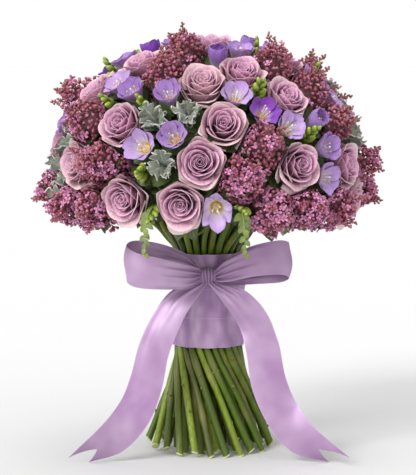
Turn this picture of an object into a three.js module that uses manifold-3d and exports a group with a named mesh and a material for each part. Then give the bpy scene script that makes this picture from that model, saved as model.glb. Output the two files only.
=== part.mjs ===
// A round hand-tied bouquet of roses, freesias, lilac and silver leaf, standing on its cut stems.
// Millimetres, +Z up, the floor at z = 0, the bow on the -Y side. Azimuths are degrees from -Y towards +X.
import * as THREE from "three";
import { mergeVertices } from "three/addons/utils/BufferGeometryUtils.js";
import Module from "manifold-3d";

const wasm = await Module();
wasm.setup();

// ---- Driving dimensions ----
const GAP = 0.3; // clearance between touching pieces
const DOME = { radius: 175, height: 149, middle: 306 }; // the ellipsoid that the blooms' faces lie on
const HUB = new THREE.Vector3(0, 0, 250); // inside the head, where the flowers' directions meet
const FORK = 100; // distance from the hub to where a stem forks into its sprays
const LOWEST = 7.5; // lowest direction of a flower from the hub, in degrees
const CLOSENESS = 0.9; // how near neighbours stand, as a share of the room that both would like

// Each flower has `room` round its axis in the crowd; `radius` is its own, before it is pressed in.
const ROSE = { room: 28, radius: 33, height: 42, seat: 5.5 };
const PANICLE = { room: 27, radius: 32, length: 76, proud: 15 };
const FREESIA = { room: 18, radius: 22, length: 38 };
const BUDS = { room: 12, width: 13, length: 40, proud: 6 };
const LEAF = { room: 19, width: 38, length: 52, thick: 1.3 };

const STEM = { radius: 4, footCircle: 69, waistCircle: 32.6, spacing: 8.3, twist: 50 };
const NECK = { bottom: 118, top: 216.5, radius: 38.7 }; // where the stems are bound into one mass
const WRAP = { radius: 40.5, thick: 1.4, bottom: 115, top: 217, turns: 3, step: 0.5 };
const RIBBON = { width: 38, thick: 0.9 };
const KNOT = { y: -47.2, z: 196, width: 18, depth: 12, height: 17 };

// ---- Where the flowers sit: [azimuth, latitude on the dome] in degrees, starting from the front ----
const ROSES = [
  [-15, -3], [-3, 11], [7, 26], [32, 8], [-4, 43], [20, 50], [42, 38], [-33, 25], [-55, 38], [-40, 55],
  [-34, -6], [-61, 4], [-87, 8], [61, 9], [65, -9], [88, 26], [70, 58], [18, 78], [-130, 80],
  [110, 0], [140, -8], [156, 27], [-172, -8], [-142, -8], [-112, -6], [130, 20], [-152, 20], [-120, 32],
];
const LILACS = [
  [[-20, 50], [-13, 61]],
  [[-56, 22], [-84, 28]],
  [[-40, 10], [-54, -5]],
  [[-58, -15], [-84, -5]],
  [[45, 53], [57, 44]],
  [[60, 26], [86, 44]],
  [[16, 1], [18, 14], [21, -13]],
  [[36, -14], [48, -17]],
  [[82, 9], [98, -8]],
  [[123, -12], [114, 38]],
  [[176, 10], [162, -10]],
  [[-146, 50], [-174, 36], [-126, 8]],
];
const FREESIAS = [
  { blooms: [[-17, 35], [-21, 20], [-11, 21]], buds: [[-26, 33], [-24, 8]] },
  { blooms: [[-76, 58], [-68, 71], [-30, 72]], buds: [[-88, 54]] },
  { blooms: [[-43, 41], [-35, 39]], buds: [[-46, 29]] },
  { blooms: [[10, 66], [31, 66], [60, 72]], buds: [[47, 63]] },
  { blooms: [[18, 27], [12, 37], [29, 24]], buds: [[28, 38]] },
  { blooms: [[46, 8], [46, -4], [50, 17]], buds: [[38, 19]] },
  { blooms: [[72, 46], [76, 38], [88, 64]], buds: [[80, 54]] },
  { blooms: [[3, -9]], buds: [[11, -12], [-23, -14]] },
  { blooms: [[140, 46], [128, 62], [170, 60]], buds: [[152, 52]] },
  { blooms: [[-73, 19], [-100, 30], [-106, 50]], buds: [[-124, 58]] },
];
const LEAVES = [
  [[-66, 12], [-73, -12], [-62, -3]],
  [[-6, 26], [-17, 28], [-10, 14]],
  [[84, 34], [76, 22], [82, 42]],
];

const COLOURS = {
  rose: [0xc79bb8, 0.6], lilac: [0x8d5068, 0.6], freesia: [0xa58fd8, 0.5], leaf: [0x9fae9f, 0.8],
  stem: [0x56761f, 0.6], ribbon: [0xb795c0, 0.35],
};

// ---- Small helpers ----
const rad = THREE.MathUtils.degToRad;

// A repeatable draw from 0 to 1 for each pair of whole numbers.
function draw(a, b = 0) {
  const s = Math.sin(a * 127.1 + b * 311.7 + 5.3) * 43758.5453;
  return s - Math.floor(s);
}

// Moves every corner of a geometry to where `place` puts it.
function shaped(geometry, place) {
  const at = geometry.getAttribute("position");
  const corner = new THREE.Vector3();
  for (let i = 0; i < at.count; i++) {
    const moved = place(corner.fromBufferAttribute(at, i));
    at.setXYZ(i, moved.x, moved.y, moved.z);
  }
  return geometry;
}

function solidOf(geometry) {
  const bare = geometry.clone();
  bare.deleteAttribute("normal");
  bare.deleteAttribute("uv");
  const merged = mergeVertices(bare, 1e-3);
  return new wasm.Manifold(new wasm.Mesh({
    numProp: 3,
    vertProperties: new Float32Array(merged.getAttribute("position").array),
    triVerts: new Uint32Array(merged.index.array),
  }));
}

// Joins closed geometries that grow into each other into one closed geometry.
function fused(geometries) {
  const mesh = geometries.map(solidOf).reduce((whole, next) => whole.add(next)).getMesh();
  const joined = new THREE.BufferGeometry();
  joined.setAttribute("position", new THREE.BufferAttribute(new Float32Array(mesh.vertProperties), 3));
  joined.setIndex(new THREE.BufferAttribute(new Uint32Array(mesh.triVerts), 1));
  joined.computeVertexNormals();
  return joined;
}

// A closed rod along a curve, with flats, whose radius is given along its length from 0 to 1.
function rod(curve, sides, steps, radiusAt) {
  const frames = curve.computeFrenetFrames(steps, false);
  return shaped(new THREE.CylinderGeometry(1, 1, 1, sides, steps), (v) => {
    const t = THREE.MathUtils.clamp(v.y + 0.5, 0, 1);
    const k = Math.round(t * steps);
    return curve.getPointAt(t)
      .addScaledVector(frames.normals[k], v.x * radiusAt(t))
      .addScaledVector(frames.binormals[k], -v.z * radiusAt(t));
  });
}

// The three axes of something that faces along `facing`, turned about it by `turn`.
function axesAlong(facing, turn) {
  const side = new THREE.Vector3(-facing.y, facing.x, 0.001).normalize().applyAxisAngle(facing, turn);
  return [side, facing.clone().cross(side), facing];
}

// Carries a geometry made round its own +Y axis to stand at `base` and face along `facing`.
function standing(geometry, base, facing, turn) {
  const [x, y, z] = axesAlong(facing, turn);
  return shaped(geometry, (v) => base.clone()
    .addScaledVector(x, v.z).addScaledVector(y, v.x).addScaledVector(z, v.y));
}

// ---- The dome and its crowd of flowers ----
function onDome([azimuth, latitude]) {
  const [a, l] = [rad(azimuth), rad(latitude)];
  return new THREE.Vector3(
    DOME.radius * Math.sin(a) * Math.cos(l),
    -DOME.radius * Math.cos(a) * Math.cos(l),
    DOME.middle + DOME.height * Math.sin(l),
  );
}

// How far the dome is from the hub along a direction.
function reachOf(direction) {
  const squash = new THREE.Vector3(1 / DOME.radius, 1 / DOME.radius, 1 / DOME.height);
  const start = new THREE.Vector3(0, 0, HUB.z - DOME.middle).multiply(squash);
  const along = direction.clone().multiply(squash);
  const [a, b, c] = [along.dot(along), start.dot(along), start.dot(start) - 1];
  return (-b + Math.sqrt(b * b - a * c)) / a;
}

function siteAt(place, room) {
  return { direction: onDome(place).sub(HUB).normalize(), room };
}

// Neighbours that stand too close push each other along the dome until they fit.
function settle(sites) {
  const floor = Math.sin(rad(LOWEST));
  for (let round = 0; round < 80; round++) {
    sites.forEach((a, i) => sites.slice(i + 1).forEach((b) => {
      const angle = a.direction.angleTo(b.direction);
      const wanted = CLOSENESS * (a.room / reachOf(a.direction) + b.room / reachOf(b.direction));
      if (angle >= wanted) return;
      const axis = a.direction.clone().cross(b.direction).normalize();
      a.direction.applyAxisAngle(axis, (angle - wanted) / 4);
      b.direction.applyAxisAngle(axis, (wanted - angle) / 4);
    }));
    sites.forEach(({ direction }) => {
      direction.z = Math.max(direction.z, floor);
      direction.normalize();
    });
  }
  sites.forEach((site) => {
    site.face = HUB.clone().addScaledVector(site.direction, reachOf(site.direction));
    site.facing = new THREE.Vector3(
      site.face.x / DOME.radius ** 2,
      site.face.y / DOME.radius ** 2,
      (site.face.z - DOME.middle) / DOME.height ** 2,
    ).normalize();
  });
}

// How a flower is pressed in between its neighbours: each pair is parted by a plane through the hub.
function pressInto(site, sites) {
  const walls = sites.filter((other) => other !== site).map((other) => {
    const angle = site.direction.angleTo(other.direction);
    const share = angle * site.room / (site.room + other.room);
    const towards = other.direction.clone()
      .addScaledVector(site.direction, -other.direction.dot(site.direction)).normalize();
    return { towards, sine: Math.sin(share), cosine: Math.cos(share) };
  });
  const FREE = 0.78; // the share of the way to a wall that is left as it is
  return (v) => {
    const out = v.clone().sub(HUB);
    const along = out.dot(site.direction);
    const aside = out.addScaledVector(site.direction, -along);
    let share = 0;
    for (const { towards, sine, cosine } of walls) {
      const room = along * sine - GAP;
      share = Math.max(share, aside.dot(towards) * cosine / room);
    }
    const kept = share > FREE
      ? (FREE + (1 - FREE) * (1 - Math.exp((FREE - share) / (1 - FREE)))) / share
      : 1;
    return HUB.clone().addScaledVector(site.direction, along).addScaledVector(aside, kept);
  };
}

// ---- Rose: one closed body, its petals raised in rings that step up to the heart ----
// Each row is [radius, height, scallop, twist], from the seat up over each ring of petals to the heart.
const ROSE_RINGS = [
  [0, 0, 0, 0], [0.7, 0.22, 0.05, 0], [1, 0.68, 0.13, 0.1], [0.7, 0.56, 0.02, 0.3],
  [0.68, 0.87, 0.1, 0.6], [0.45, 0.68, 0.02, 0.9], [0.38, 1, 0.12, 1.3], [0, 0.8, 0, 0],
];
const PETALS = 5;
const SAMPLES = 3; // corners across each petal
const PLAIN_RINGS = [1, 6]; // the seat and the heart have one corner for each petal

function roseBody(number) {
  const profile = ROSE_RINGS.map(([r, z]) => new THREE.Vector2(r * ROSE.radius, z * ROSE.height));
  const size = 0.95 + 0.1 * draw(number);
  return shaped(new THREE.LatheGeometry(profile, PETALS * SAMPLES), (v) => {
    const r = Math.hypot(v.x, v.z);
    const ring = ROSE_RINGS.findIndex(([pr, pz]) =>
      Math.abs(pr * ROSE.radius - r) < 0.01 && Math.abs(pz * ROSE.height - v.y) < 0.01);
    const [, , scallop, twist] = ROSE_RINGS[ring];
    const fifth = 2 * Math.PI / PETALS;
    const around = Math.atan2(v.z, v.x);
    const angle = PLAIN_RINGS.includes(ring) ? Math.round(around / fifth) * fifth : around;
    const lobe = Math.abs(Math.sin(angle * PETALS / 2 + ring)) - 0.6;
    const wide = r * (1 + scallop * lobe) * size;
    const turn = angle + twist;
    return v.set(wide * Math.cos(turn), v.y * size + scallop * ROSE.height * lobe * 0.5, wide * Math.sin(turn));
  });
}

// ---- Lilac: a tapered head whose whole skin is raised into florets ----
const ROWS = 7;
const ROUND = 10;

function panicleBody(number) {
  const long = PANICLE.length * (0.94 + 0.18 * draw(number, 1));
  const profile = Array.from({ length: ROWS + 1 }, (_, row) => {
    const t = (row / ROWS) ** 0.85;
    const belly = Math.sin(Math.PI * (t * 0.9 + 0.1) ** 0.9);
    const closed = row === 0 || row === ROWS;
    return new THREE.Vector2(closed ? 0 : PANICLE.radius * (0.12 + 0.88 * belly), long * t);
  });
  return shaped(new THREE.LatheGeometry(profile, ROUND), (v) => {
    const row = Math.round((v.y / long) ** (1 / 0.85) * ROWS);
    if (row === 0 || row === ROWS) return v;
    const column = Math.round(Math.atan2(v.z, v.x) / (2 * Math.PI / ROUND));
    const raised = (row + column) % 2 === 0;
    const out = (raised ? 1.08 : 0.66) + 0.1 * draw(number * 40 + row, (column + ROUND) % ROUND);
    return v.set(v.x * out, v.y + (raised ? 3 : -1), v.z * out);
  });
}

// ---- Freesia: a funnel with six lobes, and a row of buds ----
const SIXTH = Math.PI / 3;

function freesiaBody(number) {
  const { radius, length } = FREESIA;
  const waist = 5.5;
  const profile = [[0, 0], [3, 0], [waist, length * 0.5], [radius, length], [0, length * 0.55]];
  const points = profile.map(([r, z]) => new THREE.Vector2(r, z));
  const flare = 0.6 + 0.8 * draw(number, 3);
  return shaped(new THREE.LatheGeometry(points, 12), (v) => {
    const r = Math.hypot(v.x, v.z);
    const angle = Math.atan2(v.z, v.x);
    // The waist has one corner for each lobe, the rim a tip and a notch.
    if (r < waist + 1) {
      const corner = Math.round(angle / SIXTH) * SIXTH;
      return v.set(r * Math.cos(corner), v.y, r * Math.sin(corner));
    }
    const lobe = Math.cos(6 * angle);
    return v.multiply(new THREE.Vector3(0.92 + 0.12 * lobe, 1, 0.92 + 0.12 * lobe)).setY(v.y + 2 * flare * lobe);
  });
}

// A stalk with buds that swell to its left and right by turns, the smallest at its tip.
function budsBody() {
  const { length, width } = BUDS;
  const profile = [[0, 0], [2.4, 0]];
  for (let k = 0; k < 3; k++) {
    const swell = width / 2 * (1 - 0.22 * k);
    profile.push([swell, length * (0.4 + 0.2 * k)], [swell * 0.35, length * (0.52 + 0.18 * k)]);
  }
  profile.push([0, length]);
  const swells = profile.map(([r]) => r);
  return shaped(new THREE.LatheGeometry(profile.map(([r, z]) => new THREE.Vector2(r, z)), 4), (v) => {
    const k = swells.indexOf(swells.find((r) => r > 2.4 && Math.abs(r - Math.hypot(v.x, v.z)) < 1e-3));
    const aside = k > 1 && k % 2 === 0 ? 1.6 * (k % 4 === 0 ? 1 : -1) : 0;
    return v.setX(v.x + aside);
  });
}

// ---- Silver leaf: a blade cut into rounded lobes, arching outwards ----
function leafBody(site, number) {
  const lobes = 3;
  const outline = [];
  for (let k = 0; k <= 2 * lobes; k++) {
    const t = k / (2 * lobes);
    const reach = k % 2 ? 0.5 : 0.16;
    outline.push(new THREE.Vector2(LEAF.width * reach * (1 - 0.35 * t), LEAF.length * (0.12 + 0.8 * t)));
  }
  const mirrored = outline.slice().reverse().map((p) => new THREE.Vector2(-p.x, p.y));
  const shape = new THREE.Shape([
    new THREE.Vector2(0.7, 0), ...outline, new THREE.Vector2(0, LEAF.length), ...mirrored, new THREE.Vector2(-0.7, 0),
  ]);
  const [side, away, up] = axesAlong(site.facing, draw(number, 7) * 6.28);
  const base = site.face.clone().addScaledVector(up, 6 - LEAF.length * 0.8);
  const curl = rad(55) / LEAF.length;
  return shaped(new THREE.ExtrudeGeometry(shape, { depth: LEAF.thick, bevelEnabled: false }), (v) => {
    const turn = v.y * curl;
    const round = 1 / curl + v.z - LEAF.thick / 2;
    return base.clone().addScaledVector(side, v.x)
      .addScaledVector(up, Math.sin(turn) * round).addScaledVector(away, 1 / curl - Math.cos(turn) * round);
  });
}

// ---- Forks: from the stem's end under the first flower, aside and up to the others ----
function between(a, b, share) {
  return a.clone().lerp(b, share).normalize();
}

// The way from one direction to another that keeps furthest from the other stems.
function clearWay(from, to, others) {
  const sideways = from.clone().cross(to).normalize();
  const score = (middle) => Math.min(...[0.25, 0.5, 0.75, 1].flatMap((share) =>
    others.flatMap((other) => [
      between(from, middle, share).angleTo(other), between(middle, to, share).angleTo(other),
    ])));
  const ways = [0, 4, -4, 8, -8, 12, -12].map((aside) =>
    between(from, to, 0.5).addScaledVector(sideways, Math.tan(rad(aside))).normalize());
  return ways.reduce((best, way) => (score(way) > score(best) + 0.01 ? way : best));
}

function atHub(direction, distance) {
  return HUB.clone().addScaledVector(direction, distance);
}

// A branch that rises from the end of the stem to the foot of the spray's first flower, or that
// leaves it and runs round inside the head to the foot of another.
function branch(first, site, foot, radius, others) {
  if (site === first) {
    const start = atHub(first.direction, FORK + 2);
    const third = start.distanceTo(foot) / 3;
    const path = new THREE.CubicBezierCurve3(
      start, atHub(first.direction, FORK + 2 + third), foot.clone().addScaledVector(site.facing, -third), foot,
    );
    return rod(path, 4, 1, () => radius);
  }
  const way = clearWay(first.direction, site.direction, others);
  const path = new THREE.CatmullRomCurve3([
    atHub(first.direction, FORK + 6), atHub(way, FORK + 4), atHub(site.direction, FORK + 11), foot,
  ], false, "centripetal");
  return rod(path, 3, 3, () => radius);
}

// ---- Stems: from the floor, twisting in through the neck, and out to each flower ----
// Neighbours in the bundle push apart in the same way as on the dome.
function bundled(firsts) {
  const lowest = Math.sin(rad(LOWEST));
  const spots = firsts.map(({ direction }) => {
    const share = Math.sqrt((1 - direction.z) / (1 - lowest));
    return new THREE.Vector2(direction.x, direction.y).setLength(STEM.waistCircle * share);
  });
  for (let round = 0; round < 80; round++) {
    spots.forEach((a, i) => spots.slice(i + 1).forEach((b) => {
      const apart = b.clone().sub(a);
      const short = STEM.spacing - apart.length();
      if (short <= 0) return;
      a.addScaledVector(apart.normalize(), -short / 4);
      b.addScaledVector(apart, short / 4);
    }));
    spots.forEach((spot) => spot.clampLength(0, STEM.waistCircle));
  }
  return spots;
}

// The stem below the neck slants out to its foot, and above it leans out to `end`.
function stemBodies(spot, end, facing, flare) {
  const turned = (angle, scale, z) => {
    const { x, y } = spot.clone().multiplyScalar(scale).rotateAround(new THREE.Vector2(), rad(angle));
    return new THREE.Vector3(x, y, z);
  };
  const foot = turned(STEM.twist, STEM.footCircle / STEM.waistCircle, 0);
  const low = turned(0, 1, NECK.bottom + 1);
  const high = turned(-STEM.twist / 3, 1, NECK.top - 1);
  const leg = shaped(new THREE.CylinderGeometry(1, 1, 1, 5, 1), (v) => {
    const middle = v.y < 0 ? foot : low;
    return new THREE.Vector3(middle.x + v.x * STEM.radius, middle.y - v.z * STEM.radius, middle.z);
  });
  const reach = end.distanceTo(high);
  const bend = new THREE.CubicBezierCurve3(
    high, high.clone().add(new THREE.Vector3(0, 0, reach * 0.3)),
    end.clone().addScaledVector(facing, -0.45 * reach), end,
  );
  return [leg, rod(bend, 4, 2, (t) => (t > 0.95 ? flare : STEM.radius))];
}

// ---- Ribbon ----
// Splits the squares of a box's two broad faces along the same diagonals, so that they can't cross in a twist.
function splitAlike(box) {
  const { start, count } = box.groups[3];
  const corners = box.index.array;
  for (let i = start; i < start + count; i += 6) {
    const [a, b, d, , c] = corners.slice(i, i + 6);
    corners.set([a, b, c, a, c, d], i);
  }
  return box;
}

// A flat strip bent along a path: `along` gives the middle and `across` the half width's direction and length.
function strip(steps, along, across) {
  return shaped(splitAlike(new THREE.BoxGeometry(1, 1, 1, 2, 1, steps)), (v) => {
    const t = v.z + 0.5;
    const middle = along(t);
    const half = across(t);
    const onward = along(Math.min(1, t + 0.02)).sub(along(Math.max(0, t - 0.02))).normalize();
    const out = onward.cross(half).normalize();
    return middle.addScaledVector(half, 2 * v.x).addScaledVector(out, v.y * RIBBON.thick);
  });
}

function wrapBody() {
  const { radius, thick, bottom, top, turns, step } = WRAP;
  const tall = (top - bottom) / turns;
  const outer = Array.from({ length: turns }, (_, k) => [
    new THREE.Vector2(radius - step, bottom + tall * k), new THREE.Vector2(radius, bottom + tall * (k + 1)),
  ]).flat();
  const inner = radius - thick;
  const profile = [new THREE.Vector2(inner, bottom), ...outer, new THREE.Vector2(inner, top)];
  return new THREE.LatheGeometry([...profile, profile[0].clone()], 20).rotateX(Math.PI / 2);
}

// Each loop leaves the knot, runs out beside the wrap, turns round its end and comes back in front.
// `tilt` raises its back half over its front half.
function loopBody(side, tilt) {
  const middle = new THREE.CatmullRomCurve3([
    [9.3, -44, 198, 0.1], [24, -46, 204, 0.7], [54, -51, 210, 1], [80, -58, 211, 0.8], [87, -68, 209, 0],
    [78, -77, 207, -0.8], [50, -78, 204, -1], [24, -66, 199, -0.6], [9.6, -51, 196, 0],
  ].map(([x, y, z, back]) => new THREE.Vector3(side * x, y, z + tilt * back)));
  return strip(16, (t) => middle.getPoint(t), (t) => {
    const open = Math.sin(Math.PI * t) ** 0.7;
    const half = 4.5 + (RIBBON.width / 2 - 4.5) * open;
    return new THREE.Vector3(side * 0.14 * (1 - 2 * t), 0, 1).setLength(half);
  });
}

// Each tail hangs from the knot, sweeps outwards and comes to lie on the floor at its end.
const TAILS = { // [out, front, up, half width, its lean to the front and up] from the knot to the end
  left: [
    [4.4, -48.2, 187.3, 4, 0, 0.1], [29, -60, 172, 11, 0.3, 0.55], [45, -66, 148, 13, 0.3, 0.5],
    [58, -72, 118, 14, 0.2, 0.35], [66, -79, 84, 17, 0.1, 0.3], [78, -86, 54, 19, 0.1, 0.6],
    [101, -94, 27, 19, -0.3, 1], [137, -108, 6.1, 19, -1, 0.36],
  ],
  right: [
    [4.4, -48.2, 187.3, 4, 0, 0.1], [30, -61, 172, 12, -0.4, 0.6], [48, -67, 150, 14, -0.3, 0.45],
    [58, -72, 122, 18, 0.1, 0.2], [65, -79, 84, 19, 0.1, 0.2], [79, -86, 52, 19, 0.1, 0.5],
    [100, -94, 26, 19, -0.3, 1], [139, -107, 6.1, 19, -1, 0.36],
  ],
};

function tailBody(side, points) {
  const middle = new THREE.CatmullRomCurve3(points.map(([x, y, z]) => new THREE.Vector3(side * x, y, z)));
  const widths = new THREE.CatmullRomCurve3(points.map(([, , , half, front, up]) =>
    new THREE.Vector3(side * (1 - 0.35 * Math.abs(front)), front, up).setLength(half)));
  const body = strip(14, (t) => middle.getPoint(t), (t) => widths.getPoint(t));
  // The end is cut to a swallowtail: the middle of the last step is drawn back.
  const end = middle.getPoint(1);
  const notch = middle.getTangent(1).multiplyScalar(-15);
  return shaped(body, (v) => (v.distanceTo(end) < 2 ? v.add(notch) : v));
}

function knotBody() {
  return shaped(new THREE.SphereGeometry(1, 12, 8), (v) => {
    const pleat = 1 + 0.05 * Math.cos(6 * Math.atan2(v.x, -v.y));
    return v.set(
      v.x * KNOT.width / 2 * pleat,
      KNOT.y + v.y * KNOT.depth / 2 * pleat,
      KNOT.z + v.z * KNOT.height / 2,
    );
  });
}

// ---- The bouquet ----
const bouquet = new THREE.Group();

function add(name, geometry, kind) {
  const [color, roughness] = COLOURS[kind];
  const material = new THREE.MeshStandardMaterial({ color, roughness, metalness: 0 });
  const mesh = new THREE.Mesh(geometry, material);
  mesh.name = name;
  bouquet.add(mesh);
}

const numbered = (kind, k) => `${kind}_${String(k + 1).padStart(2, "0")}`;
const heads = [
  ...ROSES.map((place, k) => ({ kind: "rose", name: numbered("rose", k), parts: [["rose", place]] })),
  ...LILACS.map((places, k) => ({
    kind: "lilac", name: numbered("lilac", k), parts: places.map((place) => ["panicle", place]),
  })),
  ...FREESIAS.map(({ blooms, buds }, k) => ({
    kind: "freesia", name: numbered("freesia", k),
    parts: [...blooms.map((place) => ["freesia", place]), ...buds.map((place) => ["buds", place])],
  })),
  ...LEAVES.map((places, k) => ({
    kind: "leaf", name: numbered("silver_leaf", k), parts: places.map((place) => ["leaf", place]),
  })),
];
const ROOM = {
  rose: ROSE.room, panicle: PANICLE.room, freesia: FREESIA.room, buds: BUDS.room, leaf: LEAF.room,
};
heads.forEach((head) => {
  head.sites = head.parts.map(([form, place]) => ({ form, ...siteAt(place, ROOM[form]) }));
});
const sites = heads.flatMap((head) => head.sites);
settle(sites);

// The foot of each form, where its branch or stem comes in, and its solids.
function bodiesOf(site, number) {
  const { face, facing } = site;
  const turn = draw(number, 8) * 6.28;
  const below = (depth) => face.clone().addScaledVector(facing, -depth);
  if (site.form === "rose") {
    return { foot: below(ROSE.height), bodies: [standing(roseBody(number), below(ROSE.height), facing, turn)] };
  }
  if (site.form === "panicle") {
    const foot = below(PANICLE.length - PANICLE.proud);
    const [aside] = axesAlong(facing, turn);
    return {
      foot: foot.clone().addScaledVector(facing, 10).addScaledVector(aside, 4),
      bodies: [standing(panicleBody(number), foot, facing, turn)],
    };
  }
  if (site.form === "freesia") {
    const foot = below(FREESIA.length - 2);
    return { foot: foot.clone().addScaledVector(facing, 5), bodies: [standing(freesiaBody(number), foot, facing, turn)] };
  }
  if (site.form === "buds") {
    const foot = below(BUDS.length - BUDS.proud);
    return { foot: foot.clone().addScaledVector(facing, 5), bodies: [standing(budsBody(), foot, facing, turn)] };
  }
  return { foot: below(LEAF.length * 0.8 - 7.5), bodies: [leafBody(site, number)] };
}

const BRANCH = { lilac: 2.4, freesia: 1.8, leaf: 2.2 };
const firsts = heads.map((head) => head.sites[0]);
heads.forEach((head, h) => {
  const others = firsts.filter((first) => first !== firsts[h]).map((first) => first.direction);
  const solids = head.sites.flatMap((site, k) => {
    const { foot, bodies } = bodiesOf(site, h * 7 + k);
    const press = pressInto(site, sites);
    const pressed = bodies.map((body) => shaped(body, press));
    if (head.kind === "rose") return pressed;
    return [branch(firsts[h], site, press(foot), BRANCH[head.kind], others), ...pressed];
  });
  add(head.name, solids.length > 1 ? fused(solids) : solids[0], head.kind);
});

const spots = bundled(firsts);
const stems = heads.flatMap((head, h) => {
  const { face, facing, direction } = firsts[h];
  return head.kind === "rose"
    ? stemBodies(spots[h], face.clone().addScaledVector(facing, -ROSE.height - GAP), facing, ROSE.seat)
    : stemBodies(spots[h], atHub(direction, FORK + 2 - GAP), direction, 2.6);
});
const neck = new THREE.CylinderGeometry(NECK.radius, NECK.radius, NECK.top - NECK.bottom, 20)
  .rotateX(Math.PI / 2).translate(0, 0, (NECK.bottom + NECK.top) / 2);
add("stems", fused([neck, ...stems]), "stem");
add("ribbon_wrap", wrapBody(), "ribbon");
add("bow_knot", knotBody(), "ribbon");
add("bow_loop_left", loopBody(-1, 4), "ribbon");
add("bow_loop_right", loopBody(1, -3), "ribbon");
add("bow_tail_left", tailBody(-1, TAILS.left), "ribbon");
add("bow_tail_right", tailBody(1, TAILS.right), "ribbon");

export default bouquet;
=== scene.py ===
"""The looks of a round hand-tied bouquet: roses, lilac, freesias and silver leaves above a satin bow.

Lengths are metres, Z points up and the floor is at z = 0. The bow is on the -Y side, which is the front, and
an azimuth is the angle in degrees from the front towards +X.
"""
import math

import bpy
import numpy as np
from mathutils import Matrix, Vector


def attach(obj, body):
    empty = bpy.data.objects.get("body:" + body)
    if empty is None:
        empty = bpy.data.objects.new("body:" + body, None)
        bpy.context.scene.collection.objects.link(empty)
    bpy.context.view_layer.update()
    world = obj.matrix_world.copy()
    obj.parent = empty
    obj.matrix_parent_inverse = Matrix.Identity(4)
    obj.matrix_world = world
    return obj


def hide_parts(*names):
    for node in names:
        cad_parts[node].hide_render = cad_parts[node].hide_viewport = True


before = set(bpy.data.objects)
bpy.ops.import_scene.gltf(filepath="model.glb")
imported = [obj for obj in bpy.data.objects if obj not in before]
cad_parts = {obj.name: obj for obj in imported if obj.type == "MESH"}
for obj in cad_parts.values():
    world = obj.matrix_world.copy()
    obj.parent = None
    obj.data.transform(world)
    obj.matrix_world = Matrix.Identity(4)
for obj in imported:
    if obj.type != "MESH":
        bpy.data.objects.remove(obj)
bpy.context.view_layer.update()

bl_info = {
    "name": "Hand-tied bouquet",
    "version": (1, 0, 0),
    "blender": (4, 5, 0),
    "location": "3D View > Sidebar > Bouquet",
    "description": "Dresses the bouquet's frame with petals, florets, leaves, stems and satin ribbon",
    "category": "Add Mesh",
}

MM = 0.001
GOLDEN = math.radians(137.508)  # the turn from one petal or floret to the next
ANY_TURN = 6.28  # the largest turn that is drawn for a flower, in radians

# ---- Where the flowers sit, as in the frame: [azimuth, latitude on the dome] in degrees ----
DOME_RADIUS, DOME_HEIGHT, DOME_MIDDLE = 0.175, 0.149, 0.306
HUB = np.array((0.0, 0.0, 0.250))  # inside the head, where the flowers' directions meet
LOWEST = math.sin(math.radians(7.5))  # the lowest direction from the hub
ROOM = {"rose": 0.028, "lilac": 0.027, "freesia": 0.018, "buds": 0.012, "leaf": 0.019}  # radius on the dome
CLOSENESS = 0.9  # the share of its room that a flower keeps from its neighbours
ROUNDS = 80  # of pushing neighbours apart
TOO_FAR = 0.6  # the cosine of the angle past which two flowers can't be neighbours
WALL = 0.0003  # from a flower to the plane that parts it from a neighbour
ROSES = [
    [-15, -3], [-3, 11], [7, 26], [32, 8], [-4, 43], [20, 50], [42, 38], [-33, 25], [-55, 38], [-40, 55],
    [-34, -6], [-61, 4], [-87, 8], [61, 9], [65, -9], [88, 26], [70, 58], [18, 78], [-130, 80],
    [110, 0], [140, -8], [156, 27], [-172, -8], [-142, -8], [-112, -6], [130, 20], [-152, 20], [-120, 32],
]
LILACS = [
    [[-20, 50], [-13, 61]], [[-56, 22], [-84, 28]], [[-40, 10], [-54, -5]], [[-58, -15], [-84, -5]],
    [[45, 53], [57, 44]], [[60, 26], [86, 44]], [[16, 1], [18, 14], [21, -13]], [[36, -14], [48, -17]],
    [[82, 9], [98, -8]], [[123, -12], [114, 38]], [[176, 10], [162, -10]],
    [[-146, 50], [-174, 36], [-126, 8]],
]
FREESIAS = [  # the blooms of each spray, with how open and how deep in colour each is, then its rows of buds
    [[[-17, 35, 0.2, 0.4], [-21, 20, 0.8, 0.1], [-11, 21, 0.5, 0.3]], [[-26, 33], [-24, 8]]],
    [[[-76, 58, 0.2, 0.5], [-68, 71, 0.0, 1.0], [-30, 72, 0.3, 0.3]], [[-88, 54]]],
    [[[-43, 41, 0.6, 0.1], [-35, 39, 0.3, 0.5]], [[-46, 29]]],
    [[[10, 66, 0.1, 0.7], [31, 66, 0.4, 0.2], [60, 72, 0.1, 0.6]], [[47, 63]]],
    [[[18, 27, 0.9, 1.0], [12, 37, 0.7, 0.1], [29, 24, 0.8, 0.1]], [[28, 38]]],
    [[[46, 8, 0.4, 0.4], [46, -4, 0.7, 0.2], [50, 17, 0.1, 0.5]], [[38, 19]]],
    [[[72, 46, 0.3, 0.3], [76, 38, 0.7, 0.1], [88, 64, 0.1, 0.5]], [[80, 54]]],
    [[[3, -9, 1.0, 0.0]], [[11, -12], [-23, -14]]],
    [[[140, 46, 0.8, 0.2], [128, 62, 0.3, 0.7], [170, 60, 0.6, 0.2]], [[152, 52]]],
    [[[-73, 19, 0.2, 0.6], [-100, 30, 0.7, 0.2], [-106, 50, 0.4, 0.9]], [[-124, 58]]],
]
LEAVES = [
    [[-66, 12], [-73, -12], [-62, -3]], [[-6, 26], [-17, 28], [-10, 14]], [[84, 34], [76, 22], [82, 42]],
]


def unit(v):
    return v / np.linalg.norm(v)


def units(rows):
    """Each row made one long."""
    return rows / np.linalg.norm(rows, axis=1)[:, None]


def columns(x, y, z):
    """Places from their x, y and z."""
    return np.stack((x, y, z), axis=1)


def draw(a, b=0):
    """A repeatable draw from 0 to 1, the same one as in the frame."""
    s = math.sin(a * 127.1 + b * 311.7 + 5.3) * 43758.5453
    return s - math.floor(s)


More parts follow.
